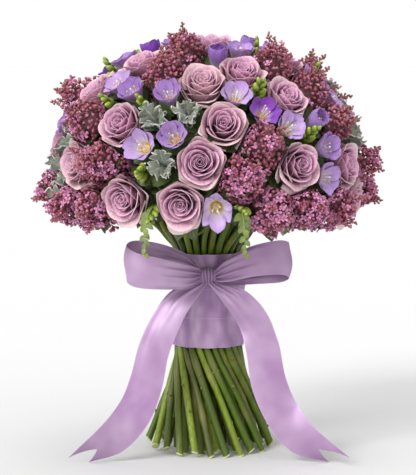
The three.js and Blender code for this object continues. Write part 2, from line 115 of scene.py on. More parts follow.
def reach(direction):
    """How far the dome is from the hub along a direction."""
    x, y, z = direction
    a = (x * x + y * y) / DOME_RADIUS**2 + z * z / DOME_HEIGHT**2
    start = (HUB[2] - DOME_MIDDLE) / DOME_HEIGHT
    b = start * z / DOME_HEIGHT
    return (-b + math.sqrt(b * b - a * (start * start - 1))) / a


class Site:
    """One flower, row of buds or leaf in the crowd."""

    def __init__(self, form, number, place):
        azimuth, latitude = math.radians(place[0]), math.radians(place[1])
        self.form, self.number, self.look, self.room = form, number, place[2:], ROOM[form]
        self.direction = unit(np.array((
            DOME_RADIUS * math.sin(azimuth) * math.cos(latitude),
            -DOME_RADIUS * math.cos(azimuth) * math.cos(latitude),
            DOME_MIDDLE + DOME_HEIGHT * math.sin(latitude) - HUB[2],
        )))

    def face_out(self):
        """Finds its place on the dome, and faces straight out from there."""
        self.face = HUB + self.direction * reach(self.direction)
        from_middle = self.face - (0, 0, DOME_MIDDLE)
        self.facing = unit(from_middle / (DOME_RADIUS**2, DOME_RADIUS**2, DOME_HEIGHT**2))

    def keep_from(self, others):
        """Notes the plane through the hub that parts it from each other site, in shares of their rooms."""
        self.walls = []
        for other in others:
            cosine = float(np.clip(self.direction @ other.direction, -1, 1))
            share = math.acos(cosine) * self.room / (self.room + other.room)
            towards = unit(other.direction - cosine * self.direction)
            self.walls.append((towards, math.sin(share), math.cos(share)))

    def axes(self, turn):
        """Rows: sideways, away and facing, turned about the way it faces."""
        side = unit(np.array((-self.facing[1], self.facing[0], 0.001)))
        away = np.cross(self.facing, side)
        side, away = (math.cos(turn) * side + math.sin(turn) * away,
                      math.cos(turn) * away - math.sin(turn) * side)
        return np.array((side, away, self.facing))

    def own_axes(self):
        """Its axes in a turn of its own."""
        return self.axes(draw(self.number, 8) * ANY_TURN)

    def press(self, points, free=0.78):
        """Squeezes points in between its walls, from a free share of the way to each wall on."""
        out = points - HUB
        along = out @ self.direction
        aside = out - along[:, None] * self.direction
        share = np.zeros(len(points))
        for towards, sine, cosine in self.walls:
            share = np.maximum(share, aside @ towards * cosine / (along * sine - WALL))
        over = share > free
        kept = np.ones(len(points))
        kept[over] = (free + (1 - free) * (1 - np.exp((free - share[over]) / (1 - free)))) / share[over]
        return HUB + along[:, None] * self.direction + aside * kept[:, None]

    def pressed(self, parts, base, axes):
        """Parts that stand on the origin, carried to a base and pressed in among the neighbours."""
        carried = []
        for form, corners, marks in parts:
            flat = self.press(base + corners.reshape(-1, 3) @ axes)
            carried.append((form, flat.reshape(corners.shape), marks))
        return carried


def push_apart(sites):
    """Turns the directions of sites that stand too close away from each other until they fit."""
    way = [tuple(site.direction) for site in sites]
    for _ in range(ROUNDS):
        for i in range(len(sites)):
            for j in range(i + 1, len(sites)):
                (ax, ay, az), (bx, by, bz) = way[i], way[j]
                cosine = ax * bx + ay * by + az * bz
                if cosine < TOO_FAR:
                    continue
                angle = math.acos(min(cosine, 1))
                wanted = CLOSENESS * (sites[i].room / reach(way[i]) + sites[j].room / reach(way[j]))
                if angle >= wanted:
                    continue
                # Each turns away from the other by a quarter of what they lack, in the plane that holds both.
                push, sine = (wanted - angle) / 4, math.sin(angle)
                here, there = math.sin(angle + push) / sine, math.sin(push) / sine
                way[i] = (here * ax - there * bx, here * ay - there * by, here * az - there * bz)
                way[j] = (here * bx - there * ax, here * by - there * ay, here * bz - there * az)
        for i, (x, y, z) in enumerate(way):
            z = max(z, LOWEST)
            size = math.sqrt(x * x + y * y + z * z)
            way[i] = (x / size, y / size, z / size)
    for site, direction in zip(sites, way):
        site.direction = np.array(direction)


def crowd():
    """All sites in place on the dome, in sprays: a spray is one node's flowers, the first on its stem."""
    sprays = [[("rose", place)] for place in ROSES]
    sprays += [[("lilac", place) for place in places] for places in LILACS]
    sprays += [[("freesia", p) for p in blooms] + [("buds", p) for p in buds] for blooms, buds in FREESIAS]
    sprays += [[("leaf", place) for place in places] for places in LEAVES]
    sprays = [[Site(form, h * 7 + k, place) for k, (form, place) in enumerate(spray)]
              for h, spray in enumerate(sprays)]
    sites = [site for spray in sprays for site in spray]
    push_apart(sites)
    for site in sites:
        site.face_out()
        site.keep_from([other for other in sites if other is not site])
    return sprays


SPRAYS = crowd()


def nodes(form, prefix):
    """The frame's nodes of one form: the name and the sites of each."""
    sprays = (spray for spray in SPRAYS if spray[0].form == form)
    return [(f"{prefix}_{number:02d}", spray) for number, spray in enumerate(sprays, 1)]


# ---- Working on meshes ----
def pick(*pieces):
    """Selects only these pieces, in object mode, with the first one active."""
    if bpy.context.mode != "OBJECT":
        bpy.ops.object.mode_set(mode="OBJECT")
    bpy.ops.object.select_all(action="DESELECT")
    for piece in pieces:
        piece.select_set(True)
    if pieces:
        bpy.context.view_layer.objects.active = pieces[0]


def named(name):
    """Names the active piece."""
    piece = bpy.context.active_object
    piece.name = piece.data.name = name
    return piece


def primitive(kind, name, **settings):
    """Adds a primitive to be shaped, with its place in its mesh."""
    pick()
    getattr(bpy.ops.mesh, f"primitive_{kind}_add")(**settings)
    piece = named(name)
    bpy.ops.object.transform_apply(location=True)
    return piece


def edit(piece, kind, chosen):
    """Goes into edit mode with only the chosen corners (VERT) or edges (EDGE) of a piece selected."""
    pick(piece)
    bpy.ops.object.mode_set(mode="EDIT")
    bpy.ops.mesh.select_mode(type=kind)
    bpy.ops.mesh.select_all(action="DESELECT")
    bpy.ops.object.mode_set(mode="OBJECT")
    for part in piece.data.vertices if kind == "VERT" else piece.data.edges:
        part.select = chosen(part)
    bpy.ops.object.mode_set(mode="EDIT")


def points(piece):
    """The places of a piece's corners."""
    spots = np.empty(len(piece.data.vertices) * 3, np.float32)
    piece.data.vertices.foreach_get("co", spots)
    return spots.reshape(-1, 3).astype(float)


def move_points(piece, spots):
    """Moves a piece's corners to new places."""
    piece.data.vertices.foreach_set("co", np.ascontiguousarray(spots, np.float32).ravel())
    piece.data.update()


def mark(piece, **values):
    """Stores numbers at the corners of a piece for its material to read."""
    for name, value in values.items():
        held = piece.data.attributes.get(name) or piece.data.attributes.new(name, "FLOAT", "POINT")
        held.data.foreach_set("value", np.broadcast_to(value, len(piece.data.vertices)).astype(np.float32))


def grid(name, across, along):
    """A flat sheet, and the place of its corners: from -1 to 1 across and from 0 to 1 along."""
    sheet = primitive("grid", name, x_subdivisions=across, y_subdivisions=along, size=2)
    spots = points(sheet)
    return sheet, spots[:, 0], (spots[:, 1] + 1) / 2


def thicken(piece, thickness):
    """Gives a sheet its thickness, half to each side."""
    pick(piece)
    modifier = piece.modifiers.new("thickness", "SOLIDIFY")
    modifier.thickness, modifier.offset = thickness, 0
    bpy.ops.object.modifier_apply(modifier=modifier.name)


def join(name, pieces):
    """Makes one piece of several."""
    pick(*pieces)
    bpy.ops.object.join()
    return named(name)


def smooth(piece, angle):
    """Shades a piece smooth, but for edges sharper than an angle in degrees."""
    pick(piece)
    bpy.ops.object.shade_smooth_by_angle(angle=math.radians(angle))


class Form:
    """The corners, faces and marks of a modelled piece, taken so that it can be repeated."""

    def __init__(self, piece):
        mesh = piece.data
        self.points = points(piece)
        self.corners = np.empty(len(mesh.loops), np.int32)
        mesh.loops.foreach_get("vertex_index", self.corners)
        self.starts = np.empty(len(mesh.polygons), np.int32)
        mesh.polygons.foreach_get("loop_start", self.starts)
        self.marks = {}
        for held in mesh.attributes:
            if held.data_type == "FLOAT" and held.domain == "POINT":
                values = np.empty(len(mesh.vertices), np.float32)
                held.data.foreach_get("value", values)
                self.marks[held.name] = values
        bpy.data.objects.remove(piece)


def assemble(name, parts):
    """One piece from parts: each has a form, the corners' places for every copy, and marks for every copy."""
    spots, corners, starts, first_corner, first_loop = [], [], [], 0, 0
    held = {key: [] for key in sorted({key for form, _, marks in parts for key in (*form.marks, *marks)})}
    for form, places, marks in parts:
        copies, size, loops = places.shape[0], len(form.points), len(form.corners)
        copy = np.arange(copies)[:, None]
        spots.append(places.reshape(-1, 3))
        corners.append((form.corners[None] + first_corner + size * copy).ravel())
        starts.append((form.starts[None] + first_loop + loops * copy).ravel())
        first_corner += copies * size
        first_loop += copies * loops
        for key, values in held.items():
            value = np.asarray(marks.get(key, form.marks.get(key, 0.0)), np.float32)
            if key in marks and value.shape == (copies,):
                value = value[:, None]
            values.append(np.broadcast_to(value, (copies, size)).ravel())
    mesh = bpy.data.meshes.new(name)
    mesh.vertices.add(first_corner)
    mesh.vertices.foreach_set("co", np.concatenate(spots).astype(np.float32).ravel())
    mesh.loops.add(first_loop)
    mesh.loops.foreach_set("vertex_index", np.concatenate(corners).astype(np.int32))
    starts = np.concatenate(starts).astype(np.int32)
    mesh.polygons.add(len(starts))
    mesh.polygons.foreach_set("loop_start", starts)
    mesh.update(calc_edges=True)
    piece = bpy.data.objects.new(name, mesh)
    bpy.context.scene.collection.objects.link(piece)
    mark(piece, **{key: np.concatenate(values) for key, values in held.items()})
    return piece


def frames(axes, spins):
    """For each axis the rows sideways, across and along of a frame turned about it."""
    axes = units(axes)
    helper = np.where(np.abs(axes[:, 2:]) < 0.9, ((0.0, 0.0, 1.0),), ((1.0, 0.0, 0.0),))
    side = units(np.cross(helper, axes))
    away = np.cross(axes, side)
    cosine, sine = np.cos(spins)[:, None], np.sin(spins)[:, None]
    return np.stack((cosine * side + sine * away, cosine * away - sine * side, axes), axis=1)


def spread(form, origins, axes, sizes, spins):
    """A form's corners for copies at origins that point along axes, with a size for each of x, y and z."""
    return origins[:, None] + (form.points[None] * sizes[:, None]) @ frames(axes, spins)


def rod_form(sides, rings):
    """A closed rod one unit long and wide, cut into rings along its length, to be laid along paths."""
    rod = primitive("cylinder", "rod", vertices=sides, radius=1, depth=1, location=(0, 0, 0.5))

    def upright(edge):
        low, high = (rod.data.vertices[corner].co.z for corner in edge.vertices)
        return abs(high - low) > 0.5

    edit(rod, "EDGE", upright)
    bpy.ops.mesh.subdivide(number_cuts=rings - 1)
    pick(rod)
    return Form(rod)


def laid_along(rod, path, radius):
    """The corners of one rod laid along a path with a point for each of its rings, and a radius at each."""
    ring = np.rint(rod.points[:, 2] * (len(path) - 1)).astype(int)
    onward = units(np.gradient(path, axis=0))
    side = np.empty_like(path)
    start = np.cross(onward[0], (0.3, 0.2, 0.9) if abs(onward[0][2]) < 0.8 else (0.9, 0.3, 0.1))
    for k in range(len(path)):
        start = unit(start - onward[k] * (start @ onward[k]))
        side[k] = start
    wide = np.broadcast_to(radius, len(path))[:, None]
    sideways, away = side * wide, np.cross(onward, side) * wide
    return (path[ring] + rod.points[:, :1] * sideways[ring] + rod.points[:, 1:2] * away[ring])[None]


def bezier(start, lean, pull, end, count):
    """Places on a curve that leaves its start towards lean and comes to its end from pull."""
    t = np.linspace(0, 1, count)[:, None]
    return (1 - t)**3 * start + 3 * t * (1 - t)**2 * lean + 3 * t**2 * (1 - t) * pull + t**3 * end


def through(spots, t):
    """Places on a smooth curve through spots, for t from 0 at the first to 1 at the last."""
    spots = np.asarray(spots, float)
    padded = np.vstack((2 * spots[0] - spots[1], spots, 2 * spots[-1] - spots[-2]))
    spans = np.linalg.norm(np.diff(padded, axis=0), axis=1)**0.5
    at = np.clip(t, 0, 1) * (len(spots) - 1)
    k = np.minimum(at.astype(int), len(spots) - 2)
    w = (at - k)[:, None]
    before, here, there, after = (padded[k + i] for i in range(4))
    d0, d1, d2 = (spans[k + i][:, None] for i in range(3))
    leave = ((here - before) / d0 - (there - before) / (d0 + d1) + (there - here) / d1) * d1
    arrive = ((there - here) / d1 - (after - here) / (d1 + d2) + (after - there) / d2) * d1
    return (here + leave * w + (3 * (there - here) - 2 * leave - arrive) * w**2
            + (2 * (here - there) + leave + arrive) * w**3)


# ---- Materials ----
def rgb(colour):
    """A colour as the shader takes it, from red, green and blue as the eye reads them, 0 to 255."""
    if len(colour) == 4:
        return tuple(colour)
    return tuple(((c / 255 + 0.055) / 1.055)**2.4 if c > 10 else c / 255 / 12.92 for c in colour) + (1.0,)


def shade(name, description, colour):
    """A setting that holds a colour."""
    return bpy.props.FloatVectorProperty(
        name=name, description=description, subtype="COLOR", size=4, default=rgb(colour))


def whole(name, description, default, low, high):
    """A setting that holds a whole number."""
    return bpy.props.IntProperty(name=name, description=description, default=default, min=low, max=high)


def amount(name, description, default):
    """A setting that holds an amount of 0 or more."""
    return bpy.props.FloatProperty(name=name, description=description, default=default, min=0.0)


class Finish:
    """A material with its shader, and short ways to add the nodes that colour it."""

    def __init__(self, name, **sockets):
        self.material = bpy.data.materials.new(name)
        self.material.use_nodes = True
        self.tree = self.material.node_tree
        self.shader = next(node for node in self.tree.nodes if node.type == "BSDF_PRINCIPLED")
        for socket, value in sockets.items():
            self.shader.inputs[socket.replace("_", " ")].default_value = value

    def node(self, kind, inputs, **settings):
        """Adds a node; each input is a value, or another node's output to link to."""
        node = self.tree.nodes.new("ShaderNode" + kind)
        for setting, value in settings.items():
            setattr(node, setting, value)
        for socket, value in inputs.items():
            if hasattr(value, "is_output"):
                self.tree.links.new(value, node.inputs[socket])
            else:
                node.inputs[socket].default_value = value
        return node

    def read(self, name):
        """A number that is stored at the piece's corners."""
        return self.node("Attribute", {}, attribute_name=name).outputs["Fac"]

    def noise(self, scale, vector=None, detail=3.0, roughness=0.6):
        """Soft patches of noise, fixed to the piece's place where no vector is given."""
        vector = vector or self.node("TexCoord", {}).outputs["Object"]
        inputs = {"Vector": vector, "Scale": scale, "Detail": detail, "Roughness": roughness}
        return self.node("TexNoise", inputs).outputs["Fac"]

    def stretched(self, scale, detail=3.0):
        """Soft patches with a scale for each of x, y and z."""
        place = self.node("TexCoord", {}).outputs["Object"]
        return self.noise(1.0, self.node("Mapping", {"Vector": place, "Scale": scale}).outputs[0], detail)

    def veins(self, across, fine, along, short, turn):
        """Streaks that run along a petal, other ones for each value of turn."""
        across, along = self.maths("MULTIPLY", across, fine), self.maths("MULTIPLY", along, short)
        return self.noise(1.0, self.vector(across, along, turn), detail=4)

    def vector(self, x, y, z):
        return self.node("CombineXYZ", {"X": x, "Y": y, "Z": z}).outputs[0]

    def maths(self, operation, a, b=0.0):
        return self.node("Math", {0: a, 1: b}, operation=operation).outputs[0]

    def span(self, value, low, high, to_low=0.0, to_high=1.0):
        """A value's way from low to high, as a way from one number to another."""
        inputs = {"Value": value, "From Min": low, "From Max": high, "To Min": to_low, "To Max": to_high}
        return self.node("MapRange", inputs).outputs["Result"]

    def ramp(self, value, *stops):
        """A colour that changes with a value; each stop is a value and its colour."""
        node = self.node("ValToRGB", {"Fac": value})
        marks = node.color_ramp.elements
        while len(marks) < len(stops):
            marks.new(0.5)
        for stop, (at, colour) in zip(marks, stops):
            stop.position, stop.color = at, rgb(colour)
        return node.outputs["Color"]

    def mix(self, share, a, b):
        """A colour that is a at a share of 0, and b at 1."""
        a, b = (colour if hasattr(colour, "is_output") else rgb(colour) for colour in (a, b))
        return self.node("Mix", {"Factor": share, 6: a, 7: b}, data_type="RGBA", clamp_factor=True).outputs[2]

    def layers(self, colour, *layers):
        """Lays colours over one. Each has a value, where on it it starts and is full, and its full share."""
        for value, start, full, share, over in layers:
            colour = self.mix(self.span(value, start, full, 0.0, share), colour, over)
        return colour

    def paint(self, colour, height=None, depth=0.0005, strength=0.5):
        """Gives the shader its colour and, where a height is given, its relief."""
        self.tree.links.new(colour, self.shader.inputs["Base Color"])
        if height is not None:
            bump = self.node("Bump", {"Height": height, "Distance": depth, "Strength": strength})
            self.tree.links.new(bump.outputs[0], self.shader.inputs["Normal"])
        return self.material


def dress(piece, material, slot, *nodes):
    """Gives a finished piece its material and its place in the frame."""
    piece.data.materials.clear()
    piece.data.materials.append(material)
    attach(piece, "root")
    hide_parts(*nodes)
    return piece


def build(name, parts, material, slot, node, angle=60):
    """Makes a piece of repeated parts and dresses it."""
    piece = assemble(name, parts)
    smooth(piece, angle)
    return dress(piece, material, slot, node)


def green_finish():
    """Stems, hips, scapes and calyxes: each has its own tint, and wood says how brown it is."""
    held = bpy.data.materials.get("stem_green")
    if held:
        return held
    finish = Finish("stem_green", Roughness=0.42, Subsurface_Weight=0.04, Subsurface_Scale=0.002,
                    Specular_IOR_Level=0.35)
    tint = finish.read("tint")
    green = finish.ramp(tint, (0.0, (50, 62, 14)), (0.35, (74, 98, 18)), (0.7, (100, 126, 24)),
                        (1.0, (136, 156, 42)))
    brown = finish.ramp(tint, (0.0, (54, 46, 28)), (0.6, (84, 76, 42)), (1.0, (104, 104, 52)))
    streak = finish.stretched((500.0, 500.0, 30.0))
    colour = finish.layers(
        finish.mix(finish.read("wood"), green, brown),
        (streak, 0.42, 0.7, 0.5, (60, 78, 22)),
        (finish.noise(60.0), 0.35, 0.7, 0.35, (62, 78, 26)),
        (finish.noise(420.0, detail=4), 0.55, 0.8, 0.2, (150, 160, 78)),
        (finish.read("knot"), 0.0, 1.0, 1.0, (132, 128, 74)),
        (finish.read("cut"), 0.88, 0.94, 1.0, (190, 196, 132)))
    return finish.paint(colour, streak, 0.0004, 0.4)


# ---- Roses ----
ROSE_HEIGHT = 0.042
# Petals from the heart out: share of the way, radius, height of the rim, flare and droop (mm), half angle.
ROSE_PETALS = np.array((
    (0.00, 1.4, 36.5, 0.0, 0.0, 2.30),
    (0.12, 3.6, 38.5, 0.2, 0.0, 1.90),
    (0.30, 7.0, 40.0, 0.6, 0.2, 1.40),
    (0.50, 11.0, 40.5, 1.2, 0.5, 1.15),
    (0.64, 14.0, 41.0, 2.4, 1.0, 1.25),
    (0.80, 18.5, 40.5, 6.0, 3.5, 1.15),
    (0.92, 21.5, 38.0, 9.5, 7.5, 1.08),
    (1.00, 23.5, 35.0, 12.5, 11.5, 1.05),
)).T
HEART = 0.62  # the share of the way from the heart out at which the small, tight petals end
# Name, how many petals fewer than the setting, how far open, and seed.
ROSE_KINDS = (("rose_full", 0, 1.0, 3), ("rose_half", 4, 0.7, 4), ("rose_wide", 0, 1.15, 5))
ROSE_ORDER = (0, 2, 1, 0, 2)  # the kinds in turn from rose to rose


def rose_petal(number, share, opening, dice):
    """One petal of a rose on the origin, cupped, with a pointed rim that rolls back at its sides."""
    petal, across, along = grid("petal", *((16, 12) if share > 0.6 else (10, 8)))
    along = np.sin(along * math.pi / 2)
    radius, rim, flare, droop, half = (np.interp(share, ROSE_PETALS[0], row) for row in ROSE_PETALS[1:])
    flare, droop = flare * opening, droop * opening
    rim += dice.normal(0, 0.6)
    side = np.abs(across)
    up = along * (1 - 0.34 * side**2.8)
    belly = 1 - (1 - up)**2.8
    opened = np.clip((up - 0.55) / 0.45, 0, 1)**2
    roll = np.clip((along - 0.74) / 0.26, 0, 1)**2.5 * np.interp(share, (0, 0.1, 0.5, 1), (0, 0.5, 1.6, 3.0))
    lip = roll * (0.55 + 0.9 * side**1.5)
    ruffle = 1.1 * share * np.sin(across * 3.6 + dice.uniform(0, 6)) * along**4
    out = radius * (0.16 + 0.84 * belly) + flare * opened + lip + ruffle
    # The heart winds up like a scroll; the large petals lap either way.
    lap = 0.12 * across if share < HEART else 0.06 * across * dice.choice((-1, 1))
    out += radius * lap + 1.0 * share * side**4 * along**2
    tip = 2.4 * share * np.exp(-(side / 0.22)**1.5) * along**6
    height = rim * up - droop * opened - 0.6 * lip + 0.5 * ruffle + tip
    angle = GOLDEN * number + dice.normal(0, 0.14) + across * half * (0.42 + 0.58 * np.clip(up * 2.4, 0, 1))
    move_points(petal, columns(out * np.cos(angle), out * np.sin(angle), height) * MM)
    mark(petal, across=across, height=along, ring=share, tint=dice.uniform())
    thicken(petal, 0.35 * MM)
    return petal


def rose_bloom(name, petals, opening, seed):
    """A tight heart of small petals, and a third as large ones that open round it."""
    dice = np.random.default_rng(seed)
    large = petals // 3
    shares = np.concatenate((np.linspace(0, 0.60, petals - large), np.linspace(0.64, 1, large)))
    rose = join(name, [rose_petal(k, share, opening, dice) for k, share in enumerate(shares)])
    smooth(rose, 50)
    return rose


def rose_calyx():
    """The hip under a rose with its five sepals turned down."""
    parts = [primitive("uv_sphere", "hip", segments=12, ring_count=8, radius=5.4 * MM,
                       location=(0, 0, -0.5 * MM))]
    for k in range(5):
        sepal, across, along = grid("sepal", 4, 7)
        wide = 3.4 * np.sin(np.pi * np.clip(0.25 + 0.75 * along, 0, 1)) ** 0.8 * (1 - along**3) + 0.15
        out = 4.5 + 13 * along
        height = 3 + 5 * along - 9 * along**2 + 0.12 * (across * wide)**2
        angle = k * 2 * math.pi / 5
        x = out * math.cos(angle) - across * wide * math.sin(angle)
        y = out * math.sin(angle) + across * wide * math.cos(angle)
        move_points(sepal, columns(x, y, height) * MM)
        thicken(sepal, 0.5 * MM)
        parts.append(sepal)
    calyx = join("calyx", parts)
    mark(calyx, tint=0.5, wood=0.0)
    return Form(calyx)


def rose_finish(settings):
    """Petals warm at the foot, with painted shade deep between them there, and pale at the rim; the outer
    ones paler, with fine veins.
    """
    finish = Finish("rose_petal", Roughness=0.55, Subsurface_Weight=0.12, Subsurface_Scale=0.003,
                    Sheen_Weight=0.1, Sheen_Roughness=0.5, Specular_IOR_Level=0.25)
    finish.shader.inputs["Subsurface Radius"].default_value = (1.0, 0.5, 0.7)
    height, ring, across, tint = (finish.read(name) for name in ("height", "ring", "across", "tint"))
    veins = finish.veins(across, 16.0, height, 1.6, tint)
    wander = finish.maths("ADD", height, finish.span(veins, 0.3, 0.7, -0.06, 0.06))
    # The crease colour is painted shade low on every petal, where the petals shade each other.
    inner = finish.ramp(wander, (0.0, settings.crease), (0.72, settings.crease), (0.90, settings.petal),
                        (0.98, settings.rim))
    outer = finish.ramp(wander, (0.0, (168, 152, 120)), (0.34, settings.crease), (0.58, settings.petal),
                        (0.78, settings.outer), (0.95, settings.edge))
    colour = finish.layers(
        finish.mix(finish.span(ring, 0.55, 1.0), inner, outer),
        (finish.noise(55.0), 0.35, 0.75, 0.35, settings.petal),
        (tint, 0.0, 1.0, 0.14, (232, 204, 214)),
        (finish.read("age"), 0.0, 1.0, 0.55, settings.aged))
    return finish.paint(colour, veins, 0.0004, 0.35)


class RoseSettings(bpy.types.PropertyGroup):
    petals: whole("Petals", "Petals in each rose", 31, 12, 60)
    # Painted shade deep between the petals.
    crease: shade("Crease", "Colour deep between the petals", (106, 34, 74))
    petal: shade("Petal", "Colour of the inner petals", (184, 118, 158))
    rim: shade("Rim", "Colour of the petals' rims", (228, 182, 208))
    outer: shade("Outer petal", "Colour of the outer petals", (212, 166, 188))
    edge: shade("Outer rim", "Colour of the outer petals' rims", (238, 214, 204))
    aged: shade("Faded", "Colour of the palest blooms", (222, 190, 190))


class BOUQUET_OT_roses(bpy.types.Operator):
    """Build each rose of the frame up from cupped petals over a hip with sepals"""
    bl_idname = "bouquet.roses"
    bl_label = "Roses"
    settings = "rose"

    def execute(self, context):
        settings = context.scene.bouquet_rose
        blooms = [rose_bloom(name, settings.petals - fewer, opening, seed)
                  for name, fewer, opening, seed in ROSE_KINDS]
        material = rose_finish(settings)
        calyx, calyxes = rose_calyx(), []
        for number, (node, (site,)) in enumerate(nodes("rose", "rose")):
            bloom = blooms[ROSE_ORDER[number % len(ROSE_ORDER)]]
            axes = site.own_axes()
            base = site.face - site.facing * ROSE_HEIGHT
            rose = bloom.copy()
            rose.data = bloom.data.copy()
            rose.name = rose.data.name = node + "_bloom"
            context.scene.collection.objects.link(rose)
            size = 0.97 + 0.08 * draw(number, 2)
            move_points(rose, site.press(base + points(bloom) * (size, size, 1.0) @ axes))
            mark(rose, age=max(0.0, draw(number, 5) * 1.6 - 0.8))
            dress(rose, material, "rose_petals", node)
            calyxes.append(site.press(base + calyx.points @ axes, free=0.5))
        for bloom in blooms:
            bpy.data.objects.remove(bloom)
        parts = [(calyx, np.array(calyxes), {})]
        build("rose_calyxes", parts, green_finish(), "green_stems", "stems", angle=50)
        return {"FINISHED"}


# ---- Lilac ----
PANICLE_RADIUS, PANICLE_LENGTH, PANICLE_PROUD = 0.032, 0.076, 0.015
LILAC_BUD, LILAC_FLORET, LILAC_TWIG = 2.3 * MM, 5.0 * MM, 0.8 * MM  # radii
SPRIG_BUDS = 15


def lilac_bud():
    """A closed floret: a round tip that narrows into its tube."""
    bud = primitive("uv_sphere", "lilac_bud", segments=6, ring_count=5, radius=1)
    edit(bud, "VERT", lambda corner: corner.co.z < -0.9)
    bpy.ops.transform.translate(value=(0, 0, -1.3))
    edit(bud, "VERT", lambda corner: -0.9 < corner.co.z < -0.2)
    bpy.ops.transform.resize(value=(0.6, 0.6, 1.0))
    edit(bud, "VERT", lambda corner: corner.co.z > 0.9)
    bpy.ops.transform.translate(value=(0, 0, 0.12))
    pick(bud)
    mark(bud, open=0.0, rim=0.0)
    return Form(bud)


def lilac_floret():
    """An open floret: four rounded lobes, a little cupped, on a short tube."""
    floret = primitive("circle", "lilac_floret", vertices=16, radius=1, fill_type="TRIFAN")

    def edit_rim(*steps):
        """Selects the rim's corners by their step through a lobe: 0 is the gap before it and 2 its middle."""
        edit(floret, "VERT", lambda corner: corner.co.length > 0.3
             and round(math.degrees(math.atan2(corner.co.y, corner.co.x)) / 22.5) % 4 in steps)

    edit_rim(0)
    bpy.ops.transform.resize(value=(0.36, 0.36, 1))
    edit_rim(1, 3)
    bpy.ops.transform.resize(value=(0.93, 0.93, 1))
    bpy.ops.transform.translate(value=(0, 0, 0.10))
    edit_rim(2)
    bpy.ops.transform.translate(value=(0, 0, 0.26))
    edit(floret, "VERT", lambda corner: corner.co.length <= 0.3)
    bpy.ops.transform.translate(value=(0, 0, -0.22))
    pick(floret)
    mark(floret, rim=np.clip(np.hypot(*points(floret).T[:2]), 0, 1))
    thicken(floret, 0.09)
    tube = primitive("cone", "tube", vertices=5, radius1=0.12, radius2=0.24, depth=1.5,
                     location=(0, 0, -0.95))
    floret = join("lilac_floret", [floret, tube])
    mark(floret, open=1.0)
    return Form(floret)


def lilac_twig():
    """A twig one unit long and wide that tapers a little."""
    twig = primitive("cone", "twig", vertices=5, radius1=1, radius2=0.55, depth=1, location=(0, 0, 0.5))
    mark(twig, open=-1.0, rim=0.0)
    return Form(twig)


def lilac_core():
    """A rough heart behind the florets, one unit long and wide, that stands in for the inner florets,
    darkened with painted shade.
    """
    middle = (0, 0, 0.5)
    core = primitive("ico_sphere", "core", subdivisions=3, radius=0.5, location=middle)
    spots = points(core)
    rough = 1 + 0.16 * np.sin(spots[:, 0] * 23 + 2) * np.sin(spots[:, 1] * 19) * np.sin(spots[:, 2] * 21)
    move_points(core, (spots - middle) * rough[:, None] + middle)
    mark(core, open=-2.0, rim=0.0)
    return Form(core)


def ball_points(count, lowest):
    """Directions spread evenly over the part of a ball above a height."""
    k = np.arange(count) + 0.5
    z = 1 - (1 - lowest) * k / count
    flat = np.sqrt(1 - z * z)
    return columns(flat * np.cos(GOLDEN * k), flat * np.sin(GOLDEN * k), z)


def lilac_clusters(settings, length, low, dice):
    """The middles of the clusters up a head, and a row for each floret: place, way, open, size and tint."""
    clusters = settings.clusters
    k = np.arange(clusters) + 0.5
    up = 0.08 + 0.90 * (k / clusters)**0.85
    wide = PANICLE_RADIUS * (0.06 + 0.94 * np.sin(np.pi * (up * 0.88 + 0.12)**0.9))
    wide = wide * dice.uniform(0.72, 1.05, clusters)
    turn = GOLDEN * k + dice.normal(0, 0.15, clusters)
    outward = units(columns(np.cos(turn), np.sin(turn), np.interp(up, (0, 0.5, 1), (-0.35, 0.6, 4.0))))
    middles = columns(wide * np.cos(turn), wide * np.sin(turn), up * length) - outward * 0.006
    bloom = np.clip(dice.normal(0.10 + 0.7 * low, 0.22, clusters) - 0.4 * (up - 0.5), 0, 0.85)
    tints = np.clip(dice.normal(0.5, 0.16, clusters), 0, 1)
    rows = []
    for c in range(clusters):
        count = int(np.interp(up[c], (0, 1), (settings.florets + 1, settings.florets * 0.6)))
        ways = ball_points(count, -0.05) @ frames(outward[c:c + 1], np.array([dice.uniform(0, 6)]))[0]
        size = np.interp(up[c], (0, 1), (0.0092, 0.0062)) * dice.uniform(0.85, 1.1)
        spots = middles[c] + ways * size * dice.uniform(0.85, 1.15, (count, 1))
        ways = ways + dice.normal(0, 0.16, (count, 3))
        opened = dice.uniform(size=count) < bloom[c]
        sizes = dice.uniform(0.85, 1.15, count) * np.interp(up[c], (0, 0.6, 1), (1.05, 1.0, 0.72))
        rows.append(np.column_stack((spots, ways, opened, sizes, np.full(count, tints[c]))))
    return middles, np.concatenate(rows)


def lilac_sprigs(count, length, dice):
    """A row for each loose sprig that stands out of a head: foot, lean and length; and their buds' rows."""
    sprigs, rows = [], []
    for _ in range(count):
        lean = unit(np.append(dice.normal(0, 0.38, 2), 1.0))
        foot = np.array((lean[0] * 0.02, lean[1] * 0.02, length * 0.76))
        long = dice.uniform(0.017, 0.024)
        sprigs.append((*foot, *lean, long))
        side, away, _ = frames(lean[None], np.array([dice.uniform(0, 6)]))[0]
        for j in range(SPRIG_BUDS):
            last = j == SPRIG_BUDS - 1
            share = 0.12 + 0.88 * j / (SPRIG_BUDS - 1)
            aside = side * math.cos(j * 2.4) + away * math.sin(j * 2.4)
            spot = foot + lean * long * share + aside * (0.0044 * (1 - share) + (0 if last else 0.0010))
            rows.append((*spot, *(lean * 0.8 + aside * (0 if last else 1)), False, 0.92 - 0.28 * share, 0.5))
    return np.array(sprigs).reshape(-1, 7), np.array(rows).reshape(-1, 9)


